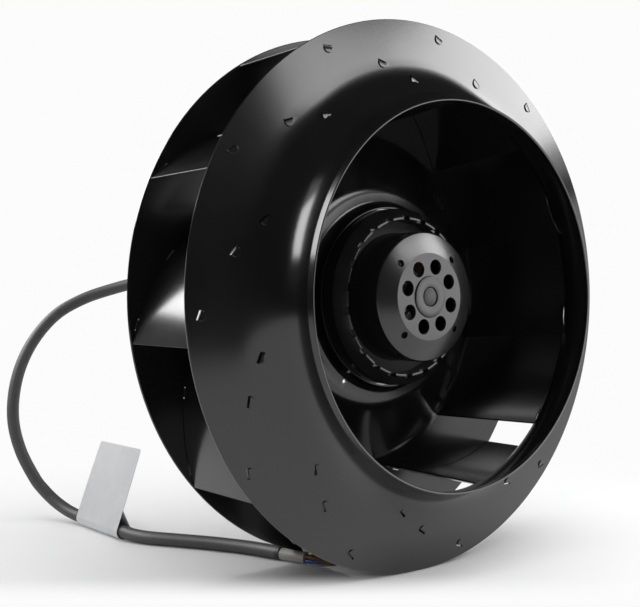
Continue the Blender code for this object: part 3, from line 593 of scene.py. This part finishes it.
# %% [markdown]
# ## The rotor cup
# The motor turns inside out: its magnets' cup is the part that spins. The cup is a casting
# with a domed cap, a groove behind it, a thin crown cut into teeth for balancing clips, and
# a straight skirt. Vents and small balance holes are drilled into the cap.

# %% Rotor cup
WALL = 2.5
CROWN_R, CROWN_LAND, CROWN_HEIGHT = 52.4, 1.5, 79.6
GROOVE_FLOOR, SHOULDER = 67.5, 72.2
CAP_R, CAP_HEIGHT = 42.1, 95.4
FACE_R, FACE_HEIGHT = 28.2, 99.7
HUB_R = 13.2
TEETH, TEETH_PHASE, TOOTH_GAP = 22, math.radians(15.0), (5.6, 3.6, 6.8)
VENTS, VENT_R, VENT_CIRCLE_R, VENT_PHASE = 8, 5.0, 19.9, math.radians(15.4)
BALANCE_HOLES, BALANCE_R, BALANCE_CIRCLE_R, BALANCE_PHASE = 4, 2.3, 32.1, math.radians(41.0)
cup_outer = rounded(
    [(HUB_R + GAP, FACE_HEIGHT), (FACE_R, FACE_HEIGHT), (CAP_R, CAP_HEIGHT),
     (CAP_R, GROOVE_FLOOR), (CROWN_R - CROWN_LAND, GROOVE_FLOOR),
     (CROWN_R - CROWN_LAND, CROWN_HEIGHT), (CROWN_R, CROWN_HEIGHT),
     (ROTOR_R, SHOULDER), (ROTOR_R, 20.0)],
    (0.6, 1.6, 1.0, 1.0, 0.3, 0.5, 2.0), steps=4)
cup_inner = [
    (ROTOR_R - WALL, 20.0), (ROTOR_R - WALL, GROOVE_FLOOR - WALL),
    (CAP_R - WALL, GROOVE_FLOOR - WALL), (CAP_R - WALL, CAP_HEIGHT - WALL),
    (FACE_R, FACE_HEIGHT - WALL), (HUB_R + GAP, FACE_HEIGHT - WALL)]
rotor_cup = finished(
    "motor_rotor_cup", turned([*cup_outer, *cup_inner], steps=132), "rotor",
    ["rotor_cup"])

tool = bmesh.new()
for angle in spread(TEETH, TEETH_PHASE):
    place = facing(angle) @ Matrix.Translation((0, CROWN_R - CROWN_LAND / 2, CROWN_HEIGHT))
    add_block(tool, TOOTH_GAP, place)
for angle in spread(VENTS, VENT_PHASE):
    place = Matrix.Translation(polar(VENT_CIRCLE_R, angle, FACE_HEIGHT))
    add_rod(tool, VENT_R, 10.0, place)
for angle in spread(BALANCE_HOLES, BALANCE_PHASE):
    place = Matrix.Translation(polar(BALANCE_CIRCLE_R, angle, CAP_HEIGHT))
    add_rod(tool, BALANCE_R, 20.0, place, segments=20)
cut(rotor_cup, tool)

# %% [markdown]
# ## Hub and shaft
# The cup is pressed on a steel hub, and the hub on the shaft. Both ends show in the middle
# of the cap as fine rings, so their edges are broken with small chamfers that catch light.

# %% Hub and shaft end
SHAFT_R = 6.0
hub_top = FACE_HEIGHT + 0.8
flange_top = FACE_HEIGHT - WALL - GAP
hub_section = rounded(
    [(SHAFT_R + GAP, hub_top - 5), (SHAFT_R + GAP, hub_top), (HUB_R, hub_top),
     (HUB_R, flange_top), (14.6, flange_top), (14.6, flange_top - 3.0),
     (HUB_R - 2, flange_top - 3.0), (HUB_R - 2, hub_top - 13.0),
     (SHAFT_R + GAP, hub_top - 13.0)],
    (0.4, 0.5, 0, 0, 0, 0, 0), steps=3)
hub = finished(
    "motor_hub", turned(hub_section, steps=88), "rotor", ["rotor_hub"])

shaft_top = hub_top - GAP
shaft_section = rounded(
    [(0, shaft_top), (SHAFT_R, shaft_top), (SHAFT_R, 15.0),
     (SHAFT_R - 0.8, 15.0), (SHAFT_R - 0.8, 13.4), (SHAFT_R, 13.4), (SHAFT_R, 11.0), (0, 11.0)],
    (0.6, 0, 0, 0, 0, 0.8), steps=3)
shaft = finished(
    "motor_shaft", turned(shaft_section, steps=64, closed=False), "rotor",
    ["shaft"])

# %% [markdown]
# ## The mounting flange
# The motor's still half is an aluminium casting. Its flat rear disc bolts to a bracket
# through four blind tapped holes, a wider cover closes the turning cup, and a tube inside
# carries the bearings. Rounded corners are what tell a casting from a turned part.

# %% Mounting flange
flange_section = rounded(
    [(0, 9.0), (12.0, 9.0), (12.0, 13.6), (16.3, 13.6), (16.3, 75.0), (20.0, 75.0),
     (20.0, 14.0), (24.0, 10.0), (57.0, 10.0), (57.0, 6.0), (50.0, 4.0), (50.0, 0.0), (0, 0)],
    (0, 0, 0, 0, 0, 1.0, 2.0, 1.2, 1.2, 1.5, 0.8), steps=4)
flange = finished(
    "motor_mounting_flange", turned(flange_section, steps=132, closed=False), "stator",
    ["motor_flange"])

CABLE_HOLE_X = -28.0
BOLT_CIRCLE_R, BOLT_R = 42.0, 2.5
tool = bmesh.new()
for angle in spread(4, math.pi / 4):
    place = Matrix.Translation(polar(BOLT_CIRCLE_R, angle))
    add_rod(tool, BOLT_R, 16.0, place, segments=24)
cable_place = Matrix.Translation((CABLE_HOLE_X, 0, 5.0))
add_rod(tool, 6.5, 40.0, cable_place, segments=40)
cut(flange, tool)
tool = bmesh.new()
for angle in spread(4, math.pi / 4):
    place = Matrix.Translation(polar(BOLT_CIRCLE_R, angle))
    add_rod(tool, BOLT_R + 0.6, 1.2, place, end_radius=BOLT_R, segments=24)
add_rod(tool, 8.7, 4.4, Matrix.Translation((CABLE_HOLE_X, 0, 0)), segments=48)
cut(flange, tool)

# %% [markdown]
# ## The cable gland
# A rubber gland seals the lead where it leaves the flange and keeps it from kinking. Its
# tail tapers, and four grooves round the tail let it bend a little with the cable.

# %% Cable gland
GLAND_REAR = 28.0
bore = CABLE_R + GAP
tail = [(7.6, -2.6)]
for index in range(4):
    start = -5.0 - index * 5.0
    radius = 7.4 - 0.28 * (-start - 2.6) / 5.0 * 1.4
    tail += [(radius, start), (radius - 0.9, start - 0.5), (radius - 0.9, start - 2.0),
             (radius - 0.2, start - 2.5)]
gland_section = [
    (6.2, 9.0), (6.2, 1.9), (8.4, 1.9), (8.4, -1.1), (7.9, -1.6), *tail,
    (bore + 0.9, -GLAND_REAR + 0.4), (bore + 0.5, -GLAND_REAR), (bore, -GLAND_REAR), (bore, 9.0)]
bm = turned(gland_section, steps=48)
bmesh.ops.translate(bm, vec=(CABLE_HOLE_X, 0, 0), verts=bm.verts)
gland = finished("motor_cable_gland", bm, "stator", ["cable_gland"])

# %% [markdown]
# ## Ferrules
# Each core's end is crimped in a thin tinned tube, pressed in at four narrow rings. It is
# turned about its own length and then laid at the core's end.

# %% Ferrules
ferrules = []
for name, tip_of_core, heading in ferrule_lines:
    section = [(0, 0), (1.25, 0), (1.25, 1.2), (1.0, 1.6)]
    for step in range(4):
        foot = 2.6 + step * 1.6
        section += [(1.0, foot), (0.86, foot + 0.3), (0.86, foot + 0.8), (1.0, foot + 1.1)]
    section += [(1.0, FERRULE_LENGTH - 0.2), (0.8, FERRULE_LENGTH), (0, FERRULE_LENGTH)]
    level = Vector((heading.x, heading.y, 0)).normalized()
    lay = Matrix.Translation((tip_of_core + level * 2 * GAP) * MM) @ level.to_track_quat(
        "Z", "Y").to_matrix().to_4x4() @ Matrix.Scale(MM, 4)
    ferrules.append(finished(
        "lead_" + name, turned(section, steps=16, closed=False), "stator",
        [name], frame_matrix=lay))

# %% [markdown]
# ## The label
# A bare film label is wrapped round the lead and stuck to itself, so it stands up as a flag.
# Its near leaf lies against the side of the cable and goes under it; the far end comes up
# round the back and meets the leaf above. Its section is one line, which is pulled out to
# the label's width and given its thickness. It is shaded flat, so that its edges stay crisp.

# %% Label
LABEL_LENGTH = 60.0
SEAM_HEIGHT = 14.0
CORNER_R = 2.2
WAVE_DEPTH = 0.9
leaf_film = FILM / 2
label_middle = (LABEL_BACK + LABEL_FRONT) / 2
label_width = (LABEL_FRONT - LABEL_BACK).length
wrap_r = CABLE_R + LABEL_GAP + FILM - leaf_film / 2
near_x = -wrap_r
far_x = near_x + leaf_film
leaf_rows = 12
film_line = []
for row in range(leaf_rows, 0, -1):
    film_line.append((near_x, LABEL_LENGTH * row / leaf_rows))
last_turn = math.atan2(SEAM_HEIGHT, far_x) - math.acos(wrap_r / math.hypot(far_x, SEAM_HEIGHT))
for step in range(25):
    angle = math.pi + (math.pi + last_turn) * step / 24
    film_line.append((wrap_r * math.cos(angle), wrap_r * math.sin(angle)))
for row in range(leaf_rows + 1):
    film_line.append((far_x, SEAM_HEIGHT + (LABEL_LENGTH - SEAM_HEIGHT) * row / leaf_rows))

bm = bmesh.new()
verts = [bm.verts.new((across, -label_width / 2, up)) for across, up in film_line]
edges = [bm.edges.new(pair) for pair in zip(verts, verts[1:])]
columns = 12
for column in range(columns):
    made = bmesh.ops.extrude_edge_only(bm, edges=edges)["geom"]
    moved = verts_of(made)
    bmesh.ops.translate(bm, vec=(0, label_width / columns, 0), verts=moved)
    edges = [item for item in made if isinstance(item, bmesh.types.BMEdge) and all(
        vert in moved for vert in item.verts)]
corners = [vert for vert in bm.verts if len(vert.link_faces) == 1]
bmesh.ops.bevel(
    bm, geom=corners, offset=CORNER_R, segments=4, profile=0.5, material=-1, affect="VERTICES")
for vert in bm.verts:
    free = max(0.0, (vert.co.z - SEAM_HEIGHT) / (LABEL_LENGTH - SEAM_HEIGHT))
    vert.co.x += WAVE_DEPTH * free ** 2 * math.sin(vert.co.y / label_width * 3.4 + 0.6)
way = (LABEL_FRONT - LABEL_BACK).normalized()
heading = Matrix.Rotation(math.atan2(way.x, -way.y), 4, "Z")
lean = Matrix.Rotation(math.radians(20.0), 4, "Y")
label = finished(
    "lead_label", bm, "stator", ["cable_label"], sheet=leaf_film - 0.02,
    frame_matrix=Matrix.Translation(label_middle * MM) @ heading @ lean @ Matrix.Scale(MM, 4))
label.data.shade_flat()

lead_length = length_of(lead_route) * MM
print("lead is", round(lead_length, 3), "m long")

# %% [markdown]
# ## Writing a finish
# A finish is a graph of nodes. Written as sums it reads like one: a Signal is any output in
# the graph, and adding or multiplying Signals places the Math nodes. Every other node comes
# from one method that takes its kind, its settings and what feeds its sockets.


# %% Signals and finishes
class Signal:
    """An output in a finish's graph, which can stand in a sum like a number."""

    def __init__(self, finish, socket):
        self.finish = finish
        self.socket = socket

    def worked(self, operation, first, second):
        return self.finish.node("ShaderNodeMath", {"operation": operation}, {0: first, 1: second})

    def __add__(self, other):
        return self.worked("ADD", self, other)

    __radd__ = __add__

    def __mul__(self, other):
        return self.worked("MULTIPLY", self, other)

    __rmul__ = __mul__

    def __sub__(self, other):
        return self.worked("SUBTRACT", self, other)

    def __rsub__(self, other):
        return self.worked("SUBTRACT", other, self)

    def __gt__(self, other):
        return self.worked("GREATER_THAN", self, other)

    def __lt__(self, other):
        return self.worked("LESS_THAN", self, other)


class Finish:
    """A material built up node by node round one Principled shader."""

    def __init__(self, name, **constants):
        self.material = bpy.data.materials.new(name)
        self.material.use_nodes = True
        self.tree = self.material.node_tree
        self.shader = self.tree.nodes["Principled BSDF"]
        for socket, value in constants.items():
            label_of = socket.replace("_", " ").title().replace("Ior", "IOR")
            self.shader.inputs[label_of].default_value = value

    def node(self, kind, settings=(), values=(), output=0):
        made = self.tree.nodes.new(kind)
        for key, value in dict(settings).items():
            if key == "stops":
                for stop, (place, colour) in zip(made.color_ramp.elements, value):
                    stop.position = place
                    stop.color = colour
            else:
                setattr(made, key, value)
        for socket, value in dict(values).items():
            self.feed(made.inputs[socket], value)
        return Signal(self, made.outputs[output])

    def feed(self, socket, value):
        if isinstance(value, Signal):
            self.tree.links.new(value.socket, socket)
        else:
            socket.default_value = value

    def place(self, scale=(1, 1, 1)):
        """Object coordinates in millimetres, stretched by a scale for each axis."""
        found = self.node("ShaderNodeTexCoord", output=3)
        return self.node(
            "ShaderNodeMapping", values={"Vector": found, "Scale": [1000 * s for s in scale]})

    def noise(self, size, detail=2.0, scale=(1, 1, 1)):
        """Cloudy variation from 0 to 1, with clouds about size millimetres across."""
        return self.node("ShaderNodeTexNoise", values={
            "Vector": self.place(scale), "Scale": 1.0 / size, "Detail": detail})

    def blend(self, factor, first, second):
        return self.node(
            "ShaderNodeMix", {"data_type": "RGBA"},
            {0: factor, 6: (*first, 1) if isinstance(first, tuple) else first,
             7: (*second, 1) if isinstance(second, tuple) else second}, output=2)

    def radius(self):
        """Distance from the fan's axis in millimetres."""
        flat = self.node("ShaderNodeVectorMath", {"operation": "MULTIPLY"}, {
            0: self.place(), 1: (1, 0, 1)})
        return self.node(
            "ShaderNodeVectorMath", {"operation": "LENGTH"}, {0: flat}, output=1)

    def wave(self, signal, pitch):
        """A smooth ripple of a signal, from 0 to 1, that repeats every pitch."""
        return self.node("ShaderNodeMath", {"operation": "SINE"}, {
            0: signal * (2 * math.pi / pitch)}) * 0.5 + 0.5

    def bumped(self, height, distance, strength=1.0):
        """Feed a height in 0..1 as relief this many millimetres deep."""
        self.feed(self.shader.inputs["Normal"], self.node("ShaderNodeBump", values={
            "Height": height, "Distance": distance * MM, "Strength": strength}))

    def colour(self, signal):
        self.tone = signal
        self.feed(self.shader.inputs["Base Color"], signal)

    def rough(self, signal):
        self.feed(self.shader.inputs["Roughness"], signal)


# %% [markdown]
# ## Black paint
# The wheel is steel with a thin black coat. The coat is even from afar, but it has a faint
# orange peel, and its gloss wanders a little where it ran thinner over the sheet.

# %% Black paint
black_paint = Finish("satin_black_paint", specular_ior_level=0.7)
cloud = black_paint.noise(38.0, 3.0)
peel = black_paint.noise(1.6, 2.0)
black_paint.colour(black_paint.blend(cloud, (0.004, 0.004, 0.0043), (0.0065, 0.0065, 0.0068)))
black_paint.rough(cloud * 0.07 + peel * 0.02 + 0.13)
black_paint.bumped(peel, 0.02, 0.35)

# %% [markdown]
# ## Black casting
# The rotor has the same black, but over cast metal: the coat is thicker and the skin under
# it is grainy, so its shine is a little blurred and shows fine pits. Dust has dulled the
# groove behind the cap, which would otherwise mirror the lamps.

# %% Black casting
black_casting = Finish("black_coated_casting", specular_ior_level=0.75)
cloud = black_casting.noise(24.0, 3.0)
grain = black_casting.noise(0.8, 3.0)
black_casting.colour(black_casting.blend(cloud, (0.006, 0.006, 0.0062), (0.01, 0.01, 0.0104)))
groove = (black_casting.radius() > CAP_R + 0.4) * (black_casting.radius() < CROWN_R - CROWN_LAND)
black_casting.rough(cloud * 0.06 + grain * 0.04 + groove * 0.5 + 0.2)
black_casting.bumped(grain, 0.02, 0.3)

# %% [markdown]
# ## Aluminium and steel
# The flange is cast and then faced on a lathe, which leaves fine rings round the axis. The
# bright steel parts are ground, and spring steel is dark from its heat. The shaft's front
# end was sprayed together with the rotor, so its last millimetres are black.


# %% Metals
def metal(name, colour, roughness, size, ring_pitch=0.0, relief=0.01):
    """A metal whose tone and gloss vary, with turning rings where a pitch is given."""
    made = Finish(name, metallic=1.0)
    cloud = made.noise(size, 3.0)
    darker = tuple(0.8 * part for part in colour)
    made.colour(made.blend(cloud, darker, colour))
    grain = made.noise(size / 12, 2.0)
    made.rough(cloud * 0.12 + grain * 0.06 + (roughness - 0.09))
    height = grain
    if ring_pitch:
        height = grain * 0.4 + made.wave(made.radius(), ring_pitch) * 0.6
    made.bumped(height, relief, 0.5)
    return made


cast_aluminium = metal("cast_aluminium_skin", (0.56, 0.57, 0.58), 0.42, 16.0, 0.9, 0.02)
bright_steel = metal("ground_steel", (0.6, 0.6, 0.61), 0.26, 9.0, 0.5)
blued_steel = metal("blued_spring_steel", (0.14, 0.14, 0.16), 0.36, 7.0)
tinned_copper = metal("tinned_copper", (0.66, 0.66, 0.65), 0.3, 2.0)

COAT_START = 95.0
along = bright_steel.node("ShaderNodeSeparateXYZ", values={0: bright_steel.place()}, output=1)
coated = COAT_START + along < 0
bright_steel.colour(bright_steel.blend(coated, bright_steel.tone, (0.008, 0.008, 0.0083)))
bright_steel.feed(bright_steel.shader.inputs["Metallic"], 1 - coated)

laminated = Finish("laminated_core_steel", metallic=1.0)
stack = laminated.node("ShaderNodeSeparateXYZ", values={0: laminated.place()}, output=1)
sheets = laminated.wave(stack, 1.0)
laminated.colour(laminated.blend(sheets, (0.2, 0.2, 0.22), (0.36, 0.37, 0.39)))
laminated.rough(sheets * 0.1 + 0.45)
laminated.bumped(sheets, 0.05)

copper = Finish("enamelled_copper_wire", metallic=1.0)
wires = copper.wave(copper.radius() + copper.noise(4.0) * 0.8, 0.9)
copper.colour(copper.blend(wires, (0.035, 0.02, 0.014), (0.13, 0.085, 0.06)))
copper.rough(wires * 0.12 + 0.3)
copper.bumped(wires, 0.2)

# %% [markdown]
# ## Rubber, nylon and the lead's plastics
# Soft plastics have a dull, slightly uneven skin. The cable's sheath has a dark ring where it
# was cut back, and the cores are smoother and brighter.


# %% Plastics
def plastic(name, dark, light, roughness, size=6.0, relief=0.015):
    """A plastic with a cloudy tone and a fine skin."""
    made = Finish(name, specular_ior_level=0.4)
    cloud = made.noise(size, 3.0)
    skin = made.noise(size / 8, 2.0)
    made.colour(made.blend(cloud, dark, light))
    made.rough(cloud * 0.1 + skin * 0.06 + (roughness - 0.08))
    made.bumped(skin, relief, 0.5)
    return made


rubber = plastic("black_rubber", (0.014, 0.014, 0.014), (0.024, 0.024, 0.024), 0.62, 4.0, 0.03)
nylon = plastic("natural_nylon", (0.62, 0.59, 0.5), (0.74, 0.71, 0.62), 0.45)
sheath = plastic("grey_cable_sheath", (0.045, 0.044, 0.046), (0.07, 0.068, 0.07), 0.48, 9.0)
along = sheath.node("ShaderNodeSeparateXYZ", values={0: sheath.place()}, output=1)
cut_end = (lead_end.y + 1.6) - along > 0
sheath.colour(sheath.blend(cut_end, sheath.tone, (0.008, 0.008, 0.008)))
inner_sheath = plastic("pale_inner_sheath", (0.26, 0.25, 0.235), (0.36, 0.345, 0.32), 0.55)
brown_core = plastic("brown_core", (0.11, 0.045, 0.018), (0.17, 0.07, 0.03), 0.4, 3.0)
blue_core = plastic("blue_core", (0.02, 0.07, 0.28), (0.03, 0.11, 0.38), 0.4, 3.0)
black_core = plastic("black_core", (0.012, 0.012, 0.012), (0.02, 0.02, 0.02), 0.4, 3.0)

earth_core = Finish("green_yellow_core", specular_ior_level=0.4)
across = earth_core.node("ShaderNodeVectorMath", {"operation": "DOT_PRODUCT"}, {
    0: earth_core.place(), 1: tuple(Vector((0.9, 0.25, 0.36)).normalized())}, output=1)
stripe = earth_core.wave(across + earth_core.noise(5.0) * 0.2, 3.4)
earth_core.colour(earth_core.blend(stripe > 0.5, (0.05, 0.28, 0.04), (0.72, 0.55, 0.03)))
earth_core.rough(stripe * 0.04 + 0.38)
earth_core.bumped(earth_core.noise(0.5), 0.01, 0.5)

# %% [markdown]
# ## Label film
# The film is matt and nearly white. It shows a faint mottle, and soft creases across the
# leaf where it was stuck down by hand.

# %% Label film
film = Finish("label_film", specular_ior_level=0.4)
mottle = film.noise(11.0, 3.0)
crease = film.noise(5.0, 1.0, (1.0, 0.25, 1.0))
film.colour(film.blend(mottle, (0.6, 0.61, 0.63), (0.7, 0.71, 0.72)))
film.rough(mottle * 0.1 + 0.4)
film.bumped(crease, 0.12, 0.5)

# %% [markdown]
# ## Dressing the parts
# New pieces take their finish here. The parts inside the closed motor keep their plain
# shapes, but each still gets its own metal, plastic or copper.

# %% Assign the finishes
finish_of = {
    "black_paint": black_paint, "motor_black": black_casting,
    "cast_aluminium": cast_aluminium, "bright_steel": bright_steel,
    "blued_steel": blued_steel, "core_steel": laminated, "copper_wire": copper,
    "nylon": nylon, "rubber": rubber, "cable_grey": sheath, "label_white": film,
    "sleeve_grey": inner_sheath, "core_brown": brown_core, "core_blue": blue_core,
    "core_black": black_core, "core_green_yellow": earth_core, "tinned_copper": tinned_copper,
}
INNER_PARTS = {
    "rotor_core": "core_steel", "stator_core": "core_steel",
    "front_end_ring": "cast_aluminium", "rear_end_ring": "cast_aluminium",
    "bearing_spacer": "cast_aluminium", "shaft_spacer": "bright_steel",
    "shaft_circlip": "blued_steel", "spring_washer": "blued_steel",
    "front_bearing_inner_ring": "bright_steel", "rear_bearing_inner_ring": "bright_steel",
    "front_bearing_outer_ring": "bright_steel", "rear_bearing_outer_ring": "bright_steel",
    "front_ball_cage": "bright_steel", "rear_ball_cage": "bright_steel",
    "front_insulator": "nylon", "rear_insulator": "nylon",
    "front_winding": "copper_wire", "rear_winding": "copper_wire",
}


def dress(thing, slot):
    if not thing.material_slots:
        thing.data.materials.append(finish_of[slot].material)
    for place in thing.material_slots:
        place.material = finish_of[slot].material


for node, slot in INNER_PARTS.items():
    dress(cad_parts[node], slot)
dressed = [
    (front_shroud, "black_paint"), (back_plate, "black_paint"), (rotor_cup, "motor_black"),
    (hub, "motor_black"), (shaft, "bright_steel"), (flange, "cast_aluminium"),
    (gland, "rubber"), (lead, "cable_grey"), (sleeve, "sleeve_grey"), (label, "label_white"),
    *((blade, "black_paint") for blade in blades),
    *((ferrule, "tinned_copper") for ferrule in ferrules),
    *((core, name) for core, (name, *_) in zip(cores, CORES)),
]
for piece, slot in dressed:
    dress(piece, slot)
print("dressed", len(dressed), "pieces and", len(INNER_PARTS), "inner parts")

# %% [markdown]
# ## The table and the backdrop
# The fan stands on a white sheet that sweeps up behind it without a corner. Close to the fan
# it is plain white card, so that it keeps the shadow. Further off, and at the front edge of
# the view, it fades into the white of the background.

# %% Sweep
forward = Vector((0.6231, 0.78212, 0))
sweep_line = rounded([(-3.0, FLOOR * MM), (3.2, FLOOR * MM), (3.2, 4.0)], (1.2,), steps=14)
bm = bmesh.new()
verts = [
    bm.verts.new(forward * along + to_right * -4.0 + Vector((0, 0, up)))
    for along, up in sweep_line]
edges = [bm.edges.new(pair) for pair in zip(verts, verts[1:])]
made = bmesh.ops.extrude_edge_only(bm, edges=edges)["geom"]
bmesh.ops.translate(bm, vec=to_right * 8.0, verts=verts_of(made))
sweep_mesh = bpy.data.meshes.new("white_sweep")
bm.to_mesh(sweep_mesh)
bm.free()
sweep = bpy.data.objects.new("white_sweep", sweep_mesh)
sweep_mesh.shade_smooth()
bpy.context.scene.collection.objects.link(sweep)

card = Finish("white_card", roughness=0.6)
fibre = card.noise(900.0)
card.colour(card.blend(fibre, (0.885, 0.885, 0.89), (0.905, 0.905, 0.91)))
distance = card.node("ShaderNodeVectorMath", {"operation": "LENGTH"}, {
    0: card.node("ShaderNodeTexCoord", output=3)}, output=1)
far = card.node("ShaderNodeMapRange", {"interpolation_type": "SMOOTHSTEP"}, {
    0: distance, 1: 0.19, 2: 0.5, 3: 0.0, 4: 1.0})
toward_camera = card.node("ShaderNodeVectorMath", {"operation": "DOT_PRODUCT"}, {
    0: card.node("ShaderNodeTexCoord", output=3), 1: tuple(forward)}, output=1)
near = card.node("ShaderNodeMapRange", {"interpolation_type": "SMOOTHSTEP"}, {
    0: toward_camera, 1: -0.14, 2: -0.08, 3: 1.0, 4: 0.0})
faded = card.node("ShaderNodeMath", {"operation": "MAXIMUM"}, {0: far, 1: near})
rays = card.tree.nodes.new("ShaderNodeLightPath")
seen = (Signal(card, rays.outputs["Is Camera Ray"]) + Signal(card, rays.outputs["Is Glossy Ray"])
        + Signal(card, rays.outputs["Is Transmission Ray"]))
white = card.tree.nodes.new("ShaderNodeEmission")
white.inputs["Color"].default_value = (0.97, 0.97, 0.97, 1)
mixed = card.tree.nodes.new("ShaderNodeMixShader")
card.feed(mixed.inputs[0], faded * seen)
card.tree.links.new(card.shader.outputs[0], mixed.inputs[1])
card.tree.links.new(white.outputs[0], mixed.inputs[2])
card.tree.links.new(mixed.outputs[0], card.tree.nodes["Material Output"].inputs["Surface"])
sweep_mesh.materials.append(card.material)

# %% [markdown]
# ## Soft light
# Paint shows what it mirrors, so black paint needs a dark room as much as it needs light. A
# wide soft lamp stands high to the right of the inlet with a dimmer one beside it, and a
# low, faint one shines into the inlet. The one at the left rear is there only to be
# mirrored, and the overhead one only to light the card and the label.


# %% Lamps
def soft_lamp(name, place, size, power):
    light = bpy.data.lights.new(name, "AREA")
    light.shape = "RECTANGLE"
    light.size, light.size_y = size
    light.energy = power
    lamp = bpy.data.objects.new(name, light)
    bpy.context.scene.collection.objects.link(lamp)
    lamp.matrix_world = Matrix.Translation(place) @ (-Vector(place)).to_track_quat(
        "-Z", "Y").to_matrix().to_4x4()
    return lamp


def toward(azimuth, elevation, distance):
    """A place seen from the fan: azimuth 0 is straight out of the inlet, 90 its right."""
    turn, lift = math.radians(azimuth), math.radians(elevation)
    return distance * Vector((
        math.sin(turn) * math.cos(lift), -math.cos(turn) * math.cos(lift), math.sin(lift)))


soft_lamp("key", toward(58, 26, 1.7), (0.85, 0.5), 8.8)
soft_lamp("front_strip", toward(27, 28, 1.7), (0.8, 0.4), 4.0)
soft_lamp("low_window", toward(42, 2, 1.7), (0.9, 0.5), 2.4)
left_rear = soft_lamp("left_rear", toward(-132, 30, 1.8), (2.4, 1.1), 64.0)
left_rear.visible_diffuse = False
overhead = soft_lamp("overhead", (-0.1, -0.5, 1.7), (2.0, 2.0), 26.0)
overhead.visible_glossy = False

# %% [markdown]
# ## A dark tent
# Only mirror rays see the tent. It hangs a metre from the fan, down to the table, and has
# openings for the lamps and for the white backdrop, each given by its left, right, lower
# and upper angle. The world is white to the camera and half as strong as light.

# %% Dark tent
TENT_R = 1.05
TENT_OPENINGS = (
    (14, 74, 14, 38), (26, 180, -12, 12), (-164, -90, 18, 54), (-180, -150, -12, 10))


def open_to_white(place):
    """Whether the tent has an opening where this face's middle is."""
    azimuth = math.degrees(math.atan2(place.x, -place.y))
    elevation = math.degrees(math.asin(place.normalized().z))
    return any(
        left < azimuth < right and low < elevation < high
        for left, right, low, high in TENT_OPENINGS)


bm = bmesh.new()
bmesh.ops.create_uvsphere(bm, u_segments=120, v_segments=60, radius=TENT_R)
gone = [
    face for face in bm.faces
    if face.calc_center_median().z < FLOOR * MM or open_to_white(face.calc_center_median())]
bmesh.ops.delete(bm, geom=gone, context="FACES")
bmesh.ops.reverse_faces(bm, faces=bm.faces)
tent_mesh = bpy.data.meshes.new("dark_tent")
bm.to_mesh(tent_mesh)
bm.free()
tent = bpy.data.objects.new("dark_tent", tent_mesh)
bpy.context.scene.collection.objects.link(tent)
tent.visible_camera = False
tent.visible_diffuse = False
tent.visible_shadow = False
felt = Finish("black_felt", roughness=0.95, specular_ior_level=0.1)
felt.colour(felt.blend(felt.noise(8.0), (0.01, 0.01, 0.01), (0.02, 0.02, 0.02)))
tent_mesh.materials.append(felt.material)
print("tent:", len(tent_mesh.polygons), "faces")

world = bpy.data.worlds.new("studio")
bpy.context.scene.world = world
world.use_nodes = True
sky = world.node_tree
back = sky.nodes["Background"]
back.inputs["Color"].default_value = (1, 1, 1, 1)
rays = sky.nodes.new("ShaderNodeLightPath")
added = rays.outputs["Is Camera Ray"]
for kind in ("Is Glossy Ray", "Is Transmission Ray"):
    adder = sky.nodes.new("ShaderNodeMath")
    adder.operation = "ADD"
    sky.links.new(added, adder.inputs[0])
    sky.links.new(rays.outputs[kind], adder.inputs[1])
    added = adder.outputs[0]
level = sky.nodes.new("ShaderNodeMapRange")
sky.links.new(added, level.inputs["Value"])
level.inputs["To Min"].default_value = 0.5
level.inputs["To Max"].default_value = 1.0
sky.links.new(level.outputs[0], back.inputs["Strength"])
bpy.context.scene.view_settings.view_transform = "Standard"
